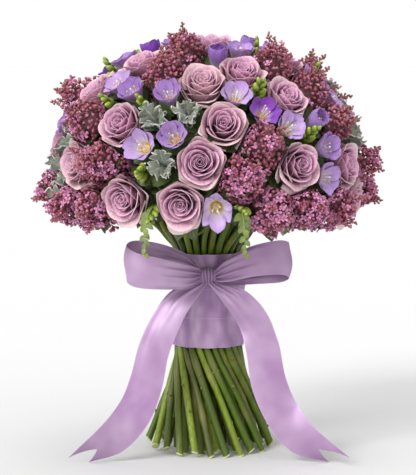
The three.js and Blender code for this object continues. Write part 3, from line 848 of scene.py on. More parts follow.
def panicle(forms, settings, site):
    """The parts of one head of lilac that stands on the origin: buds, open florets, twigs and its core."""
    bud, floret, twig, core = forms
    dice = np.random.default_rng(500 + site.number)
    length = PANICLE_LENGTH * (0.96 + 0.14 * draw(site.number, 1))
    # Heads low in the bouquet have opened further than those near its top, whose buds are still brown.
    low = np.clip(0.45 - site.facing[2], 0, 0.6)
    middles, rows = lilac_clusters(settings, length, low, dice)
    sprigs, sprig_rows = lilac_sprigs(settings.sprigs, length, dice)
    rows = np.concatenate((rows, sprig_rows))
    spots, ways, opened, sizes, tints = rows[:, :3], rows[:, 3:6], rows[:, 6] > 0, rows[:, 7], rows[:, 8]
    height = spots[:, 2] / length
    tint = np.clip(tints + dice.normal(0, 0.2, len(rows)) + 0.2 * (height - 0.6), 0, 1)
    tip = np.clip(height - 0.86, 0, 0.26) / 0.26 + 0.5 * (0.45 - low) + dice.normal(0, 0.08, len(rows))
    tip = np.clip(tip, 0, 1)
    parts = []
    for form, chosen, radius, stretch, lift in (
            (bud, ~opened, LILAC_BUD, 1.15, 0), (floret, opened, LILAC_FLORET, 1, 0.0016)):
        if chosen.any():
            wide = radius * sizes[chosen]
            places = spread(form, spots[chosen] + ways[chosen] * lift, ways[chosen],
                            columns(wide, wide, wide * stretch), dice.uniform(0, 6, chosen.sum()))
            parts.append((form, places, {"tint": tint[chosen], "tip": tip[chosen]}))
    # A twig runs out to each cluster, and one up through each sprig.
    feet = middles * (0.2, 0.2, 1.0) - (0, 0, 0.012)
    ways = middles - feet
    long = np.concatenate((np.linalg.norm(ways, axis=1), sprigs[:, 6] + 0.01))
    feet = np.concatenate((feet, sprigs[:, :3] - sprigs[:, 3:6] * 0.01))
    ways = np.concatenate((ways, sprigs[:, 3:6]))
    thin, plain = np.full(len(feet), LILAC_TWIG), {"tint": 0.5, "tip": 0.0}
    parts.append((twig, spread(twig, feet, ways, columns(thin, thin, long), np.zeros(len(feet))), plain))
    sizes = np.array([[PANICLE_RADIUS * 0.95, PANICLE_RADIUS * 0.95, length * 0.74]])
    foot, way = np.array([[0, 0, length * 0.02]]), np.array([[0, 0, 1.0]])
    parts.append((core, spread(core, foot, way, sizes, np.zeros(1)), plain))
    return parts


def lilac_finish(settings):
    """Buds, open florets, twigs and cores told apart by their mark open: 0, 1, -1 and -2."""
    finish = Finish("lilac_floret", Roughness=0.5, Subsurface_Weight=0.08, Subsurface_Scale=0.0015,
                    Specular_IOR_Level=0.4)
    tint, tip, opened, rim = (finish.read(name) for name in ("tint", "tip", "open", "rim"))
    bud = finish.ramp(tint, (0.0, (98, 42, 54)), (0.35, settings.bud), (0.7, (176, 98, 122)),
                      (1.0, (206, 138, 160)))
    # The floret's dark middle, where its tube opens, is painted shade.
    flower = finish.ramp(rim, (0.0, (104, 38, 70)), (0.3, settings.floret), (1.0, (220, 164, 196)))
    flower = finish.layers(flower, (tint, 0.0, 1.0, 0.35, (196, 128, 170)))
    fine = finish.noise(900.0)
    colour = finish.layers(
        bud,
        (tip, 0.0, 1.0, 0.85, settings.tip),
        (opened, 0.4, 0.6, 1.0, flower),
        (opened, -0.4, -0.6, 1.0, (104, 84, 62)),
        # The core's colour is the mauve of the inner florets, darkened with painted shade.
        (opened, -1.4, -1.6, 1.0, (104, 58, 70)),
        (fine, 0.4, 0.7, 0.25, (112, 58, 84)))
    return finish.paint(colour, fine, 0.0002, 0.4)


class LilacSettings(bpy.types.PropertyGroup):
    clusters: whole("Clusters", "Clusters in each head", 38, 8, 80)
    florets: whole("Florets", "Florets in a full cluster", 12, 3, 30)
    sprigs: whole("Sprigs", "Loose sprigs that stand out of each head", 3, 0, 20)
    bud: shade("Bud", "Colour of the closed florets", (150, 72, 92))
    floret: shade("Floret", "Colour of the open florets", (196, 114, 156))
    tip: shade("Tip", "Colour of the smallest buds at the tips", (142, 98, 82))


class BOUQUET_OT_lilac(bpy.types.Operator):
    """Cover each head of lilac in clusters of round buds and open florets, with loose sprigs at its tip"""
    bl_idname = "bouquet.lilac"
    bl_label = "Lilac"
    settings = "lilac"

    def execute(self, context):
        settings = context.scene.bouquet_lilac
        forms = lilac_bud(), lilac_floret(), lilac_twig(), lilac_core()
        material = lilac_finish(settings)
        for node, sites in nodes("lilac", "lilac"):
            parts = []
            for site in sites:
                base = site.face - site.facing * (PANICLE_LENGTH - PANICLE_PROUD)
                parts += site.pressed(panicle(forms, settings, site), base, site.own_axes())
            build(node + "_heads", parts, material, "lilac_florets", node)
        return {"FINISHED"}


# ---- Freesias ----
FREESIA_LENGTH, FREESIA_SUNK = 0.038, 0.002
BUD_ROW_LENGTH, BUD_ROW_PROUD = 0.040, 0.006
OPENINGS = (0.0, 0.35, 0.7, 1.0)  # of the blooms that are modelled, from a closed goblet to a wide bloom


def freesia_tepal(k, opening, dice):
    """One of a freesia's six tepals, with a crease down its middle and a wave along its edges."""
    tepal, across, along = grid("tepal", 8, 12)
    inner = k % 2
    turn = k * math.pi / 3 + dice.normal(0, 0.06)
    rim = np.interp(opening, (0, 1), (10.0, 19.5 + 1.5 * inner)) + dice.normal(0, 0.6)
    out = 2.6 + (rim - 2.6) * (0.62 * along**0.7 + 0.38 * along**np.interp(opening, (0, 1), (1.0, 2.6)))
    close = np.interp(opening, (0, 0.3, 1), (-3.0, -0.5, 0.0))
    out += close * np.clip((along - 0.5) / 0.5, 0, 1)**2 - 0.5 * inner
    droop = opening * 4.5 * np.clip((along - 0.6) / 0.4, 0, 1)**2
    up = 12 + (26.5 - 3.0 * opening - 1.0 * inner) * along - droop
    wide = 2.0 + (8.2 - 0.8 * inner) * np.clip(along / 0.62, 0, 1)**0.9
    wide *= np.sqrt(np.clip(1 - (np.clip(along - 0.62, 0, 1) / 0.385)**2.4, 0.01, 1))
    turn = turn + across * wide / np.maximum(out, 3.4) * np.interp(opening, (0, 1), (0.95, 0.86))
    out = out - 0.035 * (across * wide)**2 * (1 - 0.6 * along) + 0.5 * np.sin(across * 4 + k * 2) * along**2
    out -= 0.5 * np.exp(-(across / 0.16)**2) * along
    move_points(tepal, columns(out * np.cos(turn), out * np.sin(turn), up) * MM)
    mark(tepal, height=0.35 + 0.65 * along, across=across, part=0.0)
    thicken(tepal, 0.4 * MM)
    return tepal


def freesia_threads():
    """Three stamens round a style, each a thin thread with an anther or a stigma at its top."""
    parts = []
    for k in range(4):
        style = k == 3
        turn = k * 2.1 + 0.4
        foot = np.array((0.3 * math.cos(turn), 0.3 * math.sin(turn), 9.0)) * MM
        top = np.array((0, 0, 31) if style else (4.0 * math.cos(turn), 4.0 * math.sin(turn), 29.0)) * MM
        thread = primitive("cone", "thread", vertices=5, radius1=0.5 * MM, radius2=0.35 * MM, depth=1)
        spots = points(thread)
        move_points(thread, foot + (top - foot) * (spots[:, 2:] + 0.5) + spots * (1, 1, 0))
        mark(thread, part=1.0)
        anther = primitive("uv_sphere", "anther", segments=6, ring_count=4, radius=1)
        move_points(anther, points(anther) * (0.8 * MM, 0.8 * MM, 2.2 * MM) + top)
        mark(anther, part=1.0 if style else 2.0)
        parts += [thread, anther]
    return parts


def freesia_bloom(opening):
    """Six tepals in a funnel and its stamens on a slim tube, from a closed goblet at 0 to wide open at 1."""
    dice = np.random.default_rng(int(opening * 100) + 7)
    parts = [freesia_tepal(k, opening, dice) for k in range(6)]
    tube = primitive("cone", "tube", vertices=12, radius1=1.3 * MM, radius2=3.4 * MM, depth=15 * MM,
                     location=(0, 0, 7.5 * MM))
    mark(tube, height=np.clip(points(tube)[:, 2] / 0.040, 0, 1), across=0.0, part=0.0)
    return Form(join("freesia_bloom", [*parts, tube, *freesia_threads()]))


def green_bud():
    """One fat bud of a freesia with its collar, one unit in radius and 3.1 long."""
    bud = primitive("uv_sphere", "green_bud", segments=10, ring_count=8, radius=1)
    spots = points(bud)
    up = (spots[:, 2] + 1) / 2
    narrow = np.where(up > 0.5, 1 - 0.35 * (2 * up - 1)**2, 1 - 0.30 * (1 - 2 * up)**2)
    move_points(bud, columns(spots[:, 0] * narrow, spots[:, 1] * narrow, up * 3.1))
    mark(bud, rise=up)
    collar = primitive("cone", "collar", vertices=8, radius1=0.4, radius2=1.02, depth=0.9,
                       location=(0, 0, 0.3))
    mark(collar, rise=-0.3)
    return Form(join("green_bud", [bud, collar]))


def bud_row(bud, rod, number, count):
    """A scape that leans over at its tip with buds to its two sides, the largest lowest."""
    dice = np.random.default_rng(900 + number)
    bow = dice.uniform(2, 6)
    t = np.linspace(0, 1, 9)
    path = columns(bow * t**2, 0.8 * np.sin(3 * t), BUD_ROW_LENGTH / MM * 0.9 * t) * MM
    origins, ways, sizes = [], [], []
    for k in range(count):
        share = 0.30 + 0.68 * k / (count - 1)
        side = 1 if k % 2 else -1
        origins.append([np.interp(share, t, path[:, j]) for j in range(3)])
        lean = side * np.interp(k, (0, count - 1), (0.85, 0.25))
        ways.append(np.array((0.25, lean, 0.9)) + dice.normal(0, 0.1, 3))
        girth = np.interp(k, (0, count - 1), (4.9, 2.3)) * dice.uniform(0.9, 1.1) * MM
        sizes.append((girth, girth, girth * dice.uniform(0.95, 1.2)))
    buds = spread(bud, np.array(origins), np.array(ways), np.array(sizes), dice.uniform(0, 6, count))
    scape = laid_along(rod, path, np.linspace(1.5, 0.7, 9) * MM)
    return [(bud, buds, {"tint": np.clip(dice.normal(0.55, 0.2, count), 0, 1), "wood": 0.0}),
            (rod, scape, {"tint": 0.4, "wood": 0.0, "rise": -1.0})]


def freesia_finish(settings):
    """Veined tepals from a yellow throat to lavender or purple, and pale stamens marked by their part."""
    finish = Finish("freesia_tepal", Roughness=0.45, Subsurface_Weight=0.14, Subsurface_Scale=0.003,
                    Specular_IOR_Level=0.4, Sheen_Weight=0.15)
    height, across, depth, part = (finish.read(name) for name in ("height", "across", "depth", "part"))
    veins = finish.veins(across, 11.0, height, 2.0, depth)
    wander = finish.maths("ADD", height, finish.span(veins, 0.3, 0.7, -0.05, 0.05))
    pale = finish.ramp(wander, (0.0, (138, 164, 84)), (0.22, (206, 212, 170)), (0.42, settings.throat),
                       (0.54, (226, 214, 228)), (0.74, settings.pale), (1.0, (178, 146, 204)))
    deep = finish.ramp(wander, (0.0, (132, 130, 90)), (0.22, (168, 140, 190)), (0.40, settings.throat),
                       (0.52, (196, 160, 216)), (0.66, settings.deep), (1.0, (110, 54, 160)))
    colour = finish.layers(
        finish.mix(depth, pale, deep),
        (veins, 0.5, 0.75, 0.32, settings.deep),
        (part, 0.4, 0.6, 1.0, (246, 242, 236)),
        (part, 1.4, 1.6, 1.0, (226, 206, 150)))
    return finish.paint(colour, veins, 0.0004, 0.4)


def bud_finish():
    """Green buds that pale towards their tips, on a darker collar and scape where rise is below 0."""
    finish = Finish("freesia_bud_green", Roughness=0.38, Subsurface_Weight=0.08, Subsurface_Scale=0.002,
                    Specular_IOR_Level=0.5)
    rise, tint = finish.read("rise"), finish.read("tint")
    fine = finish.noise(500.0)
    colour = finish.layers(
        finish.ramp(rise, (0.0, (66, 88, 22)), (0.35, (104, 130, 34)), (0.8, (138, 160, 52)),
                    (1.0, (180, 188, 100))),
        (tint, 0.5, 1.0, 0.5, (156, 162, 72)),
        (tint, 0.4, 0.0, 0.45, (74, 94, 32)),
        (rise, -0.1, -0.2, 1.0, (86, 98, 38)),
        (fine, 0.45, 0.75, 0.3, (66, 78, 24)))
    return finish.paint(colour, fine, 0.0003, 0.35)


class FreesiaSettings(bpy.types.PropertyGroup):
    buds: whole("Buds", "Buds in each row", 7, 2, 12)
    pale: shade("Pale", "Colour of the lavender blooms", (198, 170, 214))
    deep: shade("Deep", "Colour of the purple blooms", (136, 70, 178))
    throat: shade("Throat", "Colour inside the throat", (214, 178, 62))


class BOUQUET_OT_freesias(bpy.types.Operator):
    """Open the freesias' funnels of six tepals, and hang rows of green buds on their scapes"""
    bl_idname = "bouquet.freesias"
    bl_label = "Freesias"
    settings = "freesia"

    def execute(self, context):
        settings = context.scene.bouquet_freesia
        forms = [freesia_bloom(opening) for opening in OPENINGS]
        bud, rod = green_bud(), rod_form(7, 8)
        petals, greens = freesia_finish(settings), bud_finish()
        for node, sites in nodes("freesia", "freesia"):
            blooms, rows = [], []
            for site in sites:
                axes = site.own_axes()
                if site.form == "freesia":
                    opening, depth = site.look
                    form = forms[int(np.argmin([abs(opening - o) for o in OPENINGS]))]
                    base = site.face - site.facing * (FREESIA_LENGTH - FREESIA_SUNK)
                    size = 1.30 - 0.14 * opening + 0.10 * draw(site.number, 3)
                    bloom = (form, form.points[None] * (size, size, 1.0), {"depth": depth})
                    blooms += site.pressed([bloom], base, axes)
                else:
                    base = site.face - site.facing * (BUD_ROW_LENGTH - BUD_ROW_PROUD)
                    rows += site.pressed(bud_row(bud, rod, site.number, settings.buds), base, axes)
            build(node + "_blooms", blooms, petals, "freesia_petals", node)
            build(node + "_buds", rows, greens, "green_stems", node)
        return {"FINISHED"}


# ---- Silver leaves ----
LEAF_LENGTH, LEAF_WIDTH, LEAF_CURL = 0.052, 0.038, math.radians(55)
LEAF_SIZES = (0.95, 0.84, 0.95)  # of the blades in each spray; those at the front are the smallest
LEAF_BLADES = ((0, 1.0, 3), (2.2, 0.86, 0), (-1.9, 0.74, -5))  # at each site: turn, size and lift in mm


def leaf_form(lobes, seed):
    """A felted blade one long, cut deep into rounded lobes that sweep forward, with a raised midrib."""
    leaf, across, along = grid("silver_leaf", 12, 44)
    dice = np.random.default_rng(seed)
    edge = np.abs(across)
    side = np.where(across > 0, 0.22, 0.0)
    wave = np.abs(np.sin(np.pi * (lobes * along**1.05 + side)))
    small = 0.08 * np.abs(np.sin(np.pi * (3 * lobes * along + side)))
    outline = np.sin(np.pi * np.clip(0.05 + 0.90 * along**0.85, 0, 1))**0.8
    wide = 0.46 * outline * (0.20 + 0.80 * wave**0.75 + small) + 0.018 + 0.03 * (1 - along)**4
    cup = 0.09 * edge**2 * np.cos(across * 3 + 9 * along)
    ruffle = 0.05 * edge**3 * np.sin(22 * along + dice.uniform(0, 6))
    rib = 0.02 * np.exp(-(across / 0.12)**2)
    move_points(leaf, columns(across * wide, along * 0.86 + 0.30 * edge**1.4 * wide, cup + ruffle - rib))
    mark(leaf, across=across, along=along, edge=edge)
    thicken(leaf, 0.022)
    return Form(leaf)


def leaf_blade(form, size, site, turn, lift):
    """The corners of a blade that stands at a site and arches outwards, and the spot where its stalk ends."""
    side, away, up = site.axes(draw(site.number, 7) * ANY_TURN + turn)
    base = site.face + up * (lift * MM - LEAF_LENGTH * 0.8 * size)
    spots = form.points * (LEAF_WIDTH * size, LEAF_LENGTH * size, LEAF_LENGTH * size)
    curl = LEAF_CURL / (LEAF_LENGTH * size)
    bent, radius = spots[:, 1] * curl, 1 / curl + spots[:, 2]
    corners = (base + spots[:, :1] * side + (np.sin(bent) * radius)[:, None] * up
               + (1 / curl - np.cos(bent) * radius)[:, None] * away)
    return site.press(corners)[None], base


def leaf_finish(settings):
    """Silver felt, pale along the edges and greener towards the foot."""
    finish = Finish("silver_felt", Roughness=0.85, Sheen_Weight=0.7, Sheen_Roughness=0.4,
                    Specular_IOR_Level=0.15)
    finish.shader.inputs["Sheen Tint"].default_value = (0.92, 0.96, 0.94, 1.0)
    felt = finish.noise(1100.0, detail=5, roughness=0.8)
    colour = finish.layers(
        finish.ramp(finish.read("edge"), (0.0, settings.rib), (0.14, settings.blade), (0.8, settings.blade),
                    (1.0, settings.margin)),
        (finish.noise(70.0), 0.35, 0.7, 0.45, (92, 98, 82)),
        (felt, 0.4, 0.7, 0.3, (186, 192, 186)),
        (finish.read("along"), 0.25, 0.0, 0.35, (96, 112, 84)))
    return finish.paint(colour, felt, 0.0004, 0.6)


class LeafSettings(bpy.types.PropertyGroup):
    lobes: amount("Lobes", "Pairs of lobes along a blade", 3.5)
    blade: shade("Blade", "Colour of the felt", (110, 114, 101))
    margin: shade("Margin", "Colour along the edges", (214, 214, 204))
    rib: shade("Midrib", "Colour of the midrib", (170, 180, 164))


class BOUQUET_OT_silver_leaves(bpy.types.Operator):
    """Cut the felted silver leaves into lobes and arch them out between the flowers"""
    bl_idname = "bouquet.silver_leaves"
    bl_label = "Silver leaves"
    settings = "leaf"

    def execute(self, context):
        settings = context.scene.bouquet_leaf
        forms = [leaf_form(settings.lobes, 1), leaf_form(settings.lobes + 1, 2)]
        rod = rod_form(6, 6)
        material = leaf_finish(settings)
        for number, (node, sites) in enumerate(nodes("leaf", "silver_leaf")):
            parts = []
            for site in sites:
                for k, (turn, size, lift) in enumerate(LEAF_BLADES):
                    form = forms[(number + k) % 2]
                    blade, base = leaf_blade(form, size * LEAF_SIZES[number], site, turn, lift)
                    parts.append((form, blade, {}))
                    stalk = np.linspace(base - site.facing * 0.022, base, 7)
                    parts.append((rod, laid_along(rod, stalk, 1.2 * MM), {"edge": 0.5, "along": 0.1}))
            build(node + "_blades", parts, material, "silver_leaves", node)
        return {"FINISHED"}


# ---- Stems ----
STEM_RADIUS, STEM_SPACING = 0.004, 0.0083
WAIST_CIRCLE, FOOT_CIRCLE = 0.0326, 0.069  # radii that hold the stems' middles at the waist and the feet
NECK_BOTTOM, WAIST, NECK_TOP = 0.118, 0.167, 0.2165
STEM_TWIST = math.radians(50)  # from the neck's bottom to the feet
FORK = 0.100  # from the hub to where a stem forks into its spray
# The share of the radius and how woody it is, by what the stem carries.
STEM_LOOKS = {"rose": (1.0, 0.1), "lilac": (0.98, 0.9), "freesia": (0.86, 0.0), "leaf": (0.8, 0.2)}
BRANCH_RADII = {"lilac": 2.2 * MM, "freesia": 1.6 * MM, "buds": 1.5 * MM, "leaf": 1.8 * MM}
# How deep under a flower's face its branch ends.
BRANCH_ENDS = {"lilac": 0.051, "freesia": 0.031, "buds": 0.029, "leaf": 0.0341}


def stem_spots():
    """Where each stem goes through the waist: neighbours in the bundle push apart as on the dome."""
    spots = []
    for spray in SPRAYS:
        x, y, z = spray[0].direction
        spots.append(WAIST_CIRCLE * math.sqrt((1 - z) / (1 - LOWEST)) * unit(np.array((x, y))))
    for _ in range(ROUNDS):
        for i, a in enumerate(spots):
            for b in spots[i + 1:]:
                apart = math.hypot(b[0] - a[0], b[1] - a[1])
                if apart < STEM_SPACING:
                    push = (b - a) * (STEM_SPACING / apart - 1) / 4
                    a -= push
                    b += push
        for spot in spots:
            spot *= min(1, WAIST_CIRCLE / math.hypot(*spot))
    return spots


def turned(spot, angle, scale, height):
    """A spot in the bundle, turned and drawn away from its middle, at a height."""
    (x, y), cosine, sine = spot * scale, math.cos(angle), math.sin(angle)
    return np.array((x * cosine - y * sine, x * sine + y * cosine, height))


def stem_path(site, spot, count):
    """From the cut foot, twisting in through the neck, out to where the flower sits or the spray forks."""
    if site.form == "rose":
        end, way = site.face - site.facing * (ROSE_HEIGHT + 0.0003), site.facing
    else:
        end, way = HUB + site.direction * (FORK + 0.0017), site.direction
    foot_height = 0.010 * max(0, draw(site.number, 33) - 0.25)
    foot = turned(spot, STEM_TWIST, FOOT_CIRCLE / WAIST_CIRCLE, foot_height)
    low = turned(spot, 0, 1.05, NECK_BOTTOM)
    waist = turned(spot, -STEM_TWIST / 6, 1.05, WAIST)
    high = turned(spot, -STEM_TWIST / 3, 1, NECK_TOP)
    rise = np.linalg.norm(end - high)
    # Above the bow the stems fan out, the outermost most.
    fan = np.append(high[:2] / WAIST_CIRCLE * 0.75, 1.0)
    bend = bezier(high, high + fan * 0.3 * rise, end - way * 0.45 * rise, end, 5)[1:]
    stray = np.array((draw(site.number, 31) - 0.5, draw(site.number, 32) - 0.5, 0)) * 0.003
    middle = (foot + low) / 2 + stray
    return through([foot, middle, low, waist, high, *bend], np.linspace(0, 1, count))


def clear_way(start, end, others):
    """The middle of the way from one direction to another that keeps furthest from the other stems."""
    aside = unit(np.cross(start, end))

    def nearest(middle):
        spots = [unit(a + (b - a) * share)
                 for share in (0.25, 0.5, 0.75, 1) for a, b in ((start, middle), (middle, end))]
        return min(math.acos(float(np.clip(spot @ other, -1, 1))) for spot in spots for other in others)

    best, held = None, -1
    for angle in (0, 4, -4, 8, -8, 12, -12):
        way = unit(unit(start + end) + aside * math.tan(math.radians(angle)))
        if nearest(way) > held + 0.01:
            best, held = way, nearest(way)
    return best


def branch_path(site, first, others, count):
    """From the stem's end to the foot of the spray's first flower, or round inside the head to another's."""
    foot = site.face - site.facing * BRANCH_ENDS[site.form]
    if site.form == "lilac":
        foot = foot + site.own_axes()[0] * 0.004
    foot = site.press(foot[None])[0]
    if site is first:
        start = HUB + first.direction * (FORK + 0.002)
        third = np.linalg.norm(foot - start) / 3
        return bezier(start, start + first.direction * third, foot - site.facing * third, foot, count)
    way = clear_way(first.direction, site.direction, others)
    return through([HUB + first.direction * (FORK + 0.006), HUB + way * (FORK + 0.004),
                    HUB + site.direction * (FORK + 0.011), foot], np.linspace(0, 1, count))


def stem(rod, stub_rod, path, form, dice):
    """The parts of one stem: a rod with rings where leaves once sat and a slanted cut, and two stubs."""
    rings = len(path) - 1
    t = np.linspace(0, 1, rings + 1)
    thick, wood = STEM_LOOKS[form]
    at = np.array((*dice.uniform(0.04, 0.23, 2), *dice.uniform(0.2, 0.45, 2)))[:, None]
    knots = np.exp(-((t - at) / 0.011)**2).max(axis=0)
    laid = laid_along(rod, path, STEM_RADIUS * thick * (dice.uniform(0.86, 1.03) - 0.10 * t + 0.16 * knots))
    ring = np.rint(rod.points[:, 2] * rings).astype(int)
    lowest = ring == 0
    slant = (laid[0] - path[0]) @ unit(np.array((*dice.normal(0, 1, 2), 0)))
    laid[0, lowest, 2] += slant[lowest] * 0.5
    laid[..., 2] = np.maximum(laid[..., 2], 0.0)
    tint = float(np.clip(dice.normal(0.55, 0.3), 0, 1))
    marks = {"tint": tint, "wood": wood * dice.uniform(0.5, 1.0)}
    parts = [(rod, laid, {**marks, "knot": 0.5 * knots[ring][None], "cut": lowest[None].astype(float)})]
    for place in at[:2, 0]:
        spot = path[int(place * rings)]
        away = unit(np.array((*dice.normal(0, 1, 2), 0.9)))
        stub = np.linspace(spot, spot + away * dice.uniform(0.006, 0.009), 11)
        laid = laid_along(stub_rod, stub, np.linspace(1.7, 1.1, 11) * MM)
        parts.append((stub_rod, laid, {"tint": 0.6, "wood": 0.5 * wood, "knot": 0.4}))
    return parts


class StemSettings(bpy.types.PropertyGroup):
    rings: whole("Rings", "Rings along each stem", 34, 10, 80)
    sides: whole("Sides", "Sides of each stem", 10, 6, 24)


class BOUQUET_OT_stems(bpy.types.Operator):
    """Bundle the stems through the neck, and branch them to every flower"""
    bl_idname = "bouquet.stems"
    bl_label = "Stems"
    settings = "stem"

    def execute(self, context):
        settings = context.scene.bouquet_stem
        long_rod, short_rod = rod_form(settings.sides, settings.rings), rod_form(7, 10)
        dice = np.random.default_rng(53)
        parts = []
        for spray, spot in zip(SPRAYS, stem_spots()):
            first = spray[0]
            path = stem_path(first, spot, settings.rings + 1)
            parts += stem(long_rod, short_rod, path, first.form, dice)
            if first.form == "rose":
                continue
            others = [other[0].direction for other in SPRAYS if other is not spray]
            for site in spray:
                branch = laid_along(short_rod, branch_path(site, first, others, 11), BRANCH_RADII[site.form])
                wood = 0.8 if site.form == "lilac" else 0.0
                parts.append((short_rod, branch, {"tint": float(dice.uniform(0.3, 0.8)), "wood": wood}))
        build("stem_bundle", parts, green_finish(), "green_stems", "stems")
        return {"FINISHED"}


# ---- Green leaves ----
COLLARS = {  # how deep under a flower's face its leaves sit, and how long they are, in mm
    "rose": (40, 46), "lilac": (40, 40), "freesia": (36, 30), "buds": (34, 27), "leaf": (40, 36),
}
SPRAY_LEAVES = 13
UNDERSIDE = -0.1  # how far down a row of buds faces when it hangs over the bow


def green_leaf_form():
    """A pointed leaf one long that lies along x from the origin, folded a little along its midrib."""
    leaf, across, along = grid("green_leaf", 4, 8)
    wide = 0.30 * np.sin(np.pi * along**0.8)**0.8 + 0.012
    wide += 0.012 * np.abs(np.sin(along * 30)) * np.abs(across)**4
    y = across * wide
    z = 0.22 * np.abs(y) + 0.10 * np.sin(along * 2.6) - 0.12 * along**2
    z += 0.02 * np.sin(across * 3 + along * 12)
    move_points(leaf, columns(along, y, z))
    mark(leaf, across=across, along=along)
    thicken(leaf, 0.014)
    return Form(leaf)


def leaf_collar(site, form, deeper, count, tint, dice):
    """A ring of leaves under a flower that lean out from its stem."""
    depth, size = COLLARS[site.form]
    parts = []
    for k in range(count):
        side, away, up = site.axes((k + deeper / 20) * 2 * math.pi / count + dice.normal(0, 0.2))
        lean = dice.uniform(0.75, 1.15) + 0.3 * (site.form == "rose")
        onward = unit(side * math.sin(lean) + up * math.cos(lean))
        axes = np.array((onward, away, np.cross(onward, away)))
        base = site.face - up * (depth + deeper + dice.uniform(-4, 4)) * MM
        corners = base + form.points * size * dice.uniform(0.85, 1.15) * MM @ axes
        marks = {"tint": float(np.clip(dice.normal(tint, 0.15), 0, 1))}
        parts.append((form, site.press(corners, free=0.7)[None], marks))
    return parts


def hanging_spray(site, form, rod, dice):
    """A thin spray that leans out under a row of buds and hangs, with small leaves to both sides."""
    out = unit(site.facing * (1, 1, 0))
    start = site.face - site.facing * 0.022
    path = bezier(start, start + out * 0.022, start + out * 0.030 - (0, 0, 0.016),
                  start + out * 0.029 - (0, 0, 0.046), 13)
    twig = laid_along(rod, path, np.linspace(0.9, 0.5, 13) * MM)
    parts = [(rod, twig, {"tint": 0.9, "along": 0.5, "across": 0.5})]
    aside = np.cross(out, (0, 0, 1))
    for k in range(SPRAY_LEAVES):
        t = (4 + 0.66 * k) / 12
        spot = np.array([np.interp(t * 12, range(13), path[:, j]) for j in range(3)])
        turn = k * 2.4
        onward = aside * math.cos(turn) * 1.2 + out * 0.25 * math.sin(turn) - np.array((0, 0, 0.9 + 0.5 * t))
        onward = unit(onward)
        away = unit(np.cross(out, onward))
        axes = np.array((onward, away, np.cross(onward, away)))
        size = np.interp(k, (0, SPRAY_LEAVES - 1), (12, 7)) * MM
        leaf = spot + form.points * size @ axes
        parts.append((form, leaf[None], {"tint": float(dice.uniform(0.7, 1.1))}))
    return parts


def foliage_finish(settings):
    """Leaves from dark to light by their tint, with a pale midrib and side veins."""
    finish = Finish("leaf_green", Roughness=0.45, Subsurface_Weight=0.06, Subsurface_Scale=0.002,
                    Specular_IOR_Level=0.45)
    side = finish.maths("ABSOLUTE", finish.read("across"))
    slant = finish.maths("SUBTRACT", finish.maths("MULTIPLY", finish.read("along"), 9.0),
                         finish.maths("MULTIPLY", side, 2.2))
    vein = finish.maths("ABSOLUTE", finish.maths("SUBTRACT", finish.maths("FRACT", slant), 0.5))
    tint = finish.maths("MULTIPLY", finish.read("tint"), 0.8)
    colour = finish.layers(
        finish.ramp(tint, (0.0, settings.dark), (0.45, (78, 94, 54)), (0.7, settings.light),
                    (0.95, (128, 142, 56))),
        (vein, 0.08, 0.0, 0.5, (118, 140, 84)),
        (side, 0.07, 0.0, 0.8, (136, 152, 98)),
        (finish.noise(300.0), 0.4, 0.75, 0.35, (62, 76, 46)))
    return finish.paint(colour, vein, 0.0003, 0.4)


class FoliageSettings(bpy.types.PropertyGroup):
    leaves: whole("Leaves", "Leaves in the upper collar under each flower", 6, 0, 12)
    dark: shade("Dark", "Colour of the darkest leaves", (54, 66, 42))
    light: shade("Light", "Colour of the lightest leaves", (124, 142, 78))


class BOUQUET_OT_foliage(bpy.types.Operator):
    """Set green leaves under every flower, row of buds and silver leaf, and hang thin sprays over the bow"""
    bl_idname = "bouquet.foliage"
    bl_label = "Green leaves"
    settings = "foliage"

    def execute(self, context):
        settings = context.scene.bouquet_foliage
        form, rod = green_leaf_form(), rod_form(6, 12)
        dice = np.random.default_rng(88)
        parts = []
        for site in (site for spray in SPRAYS for site in spray):
            # Close under the flower, and darker and looser further in: the darker tint of the deeper ring is
            # painted shade.
            for deeper, count, tint in ((0, settings.leaves, 0.42), (17, settings.leaves - 2, 0.2)):
                parts += leaf_collar(site, form, deeper, count, tint, dice)
            if site.form == "buds" and site.facing[2] < UNDERSIDE:
                parts += hanging_spray(site, form, rod, dice)
        build("green_leaves", parts, foliage_finish(settings), "green_stems", "stems")
        return {"FINISHED"}


# ---- Satin ribbon ----
RIBBON_WIDTH, RIBBON_THICK = 0.038, 0.0004
WRAP_RADIUS, WRAP_TURNS = 0.0395, 3.25
WRAP_LEVEL, WRAP_RISE = 0.134, 0.032  # of the first turn's middle, and from one turn to the next
WRAP_EDGE = 0.121  # where a turn below the first would have its upper edge
WRAP_OVERLAP = 0.0006  # how far a turn stands out over the one below
KNOT_FRONT, KNOT_LEVEL, KNOT_HALF = -47.2, 196, 8.6  # in mm
LOOP_START, LOOP_REACH = 9.3, 78  # in mm: where a loop leaves the knot, and how much further out it goes
LOOP_HALVES = 4.5, 19  # half widths in mm, at the knot and halfway round
LOOP = np.array((  # out, front, up in mm, and the share of the tilt: from the knot round to it again
    (9.3, -44, 198, 0.1), (24, -46, 204, 0.7), (54, -51, 210, 1), (80, -58, 211, 0.8), (87, -68, 209, 0),
    (78, -77, 207, -0.8), (50, -78, 204, -1), (24, -66, 199, -0.6), (9.6, -51, 196, 0),
))
LOOPS = (("left", -1, 4, 1.5), ("right", 1, -9, 5))  # side, tilt and rise at the far end in mm
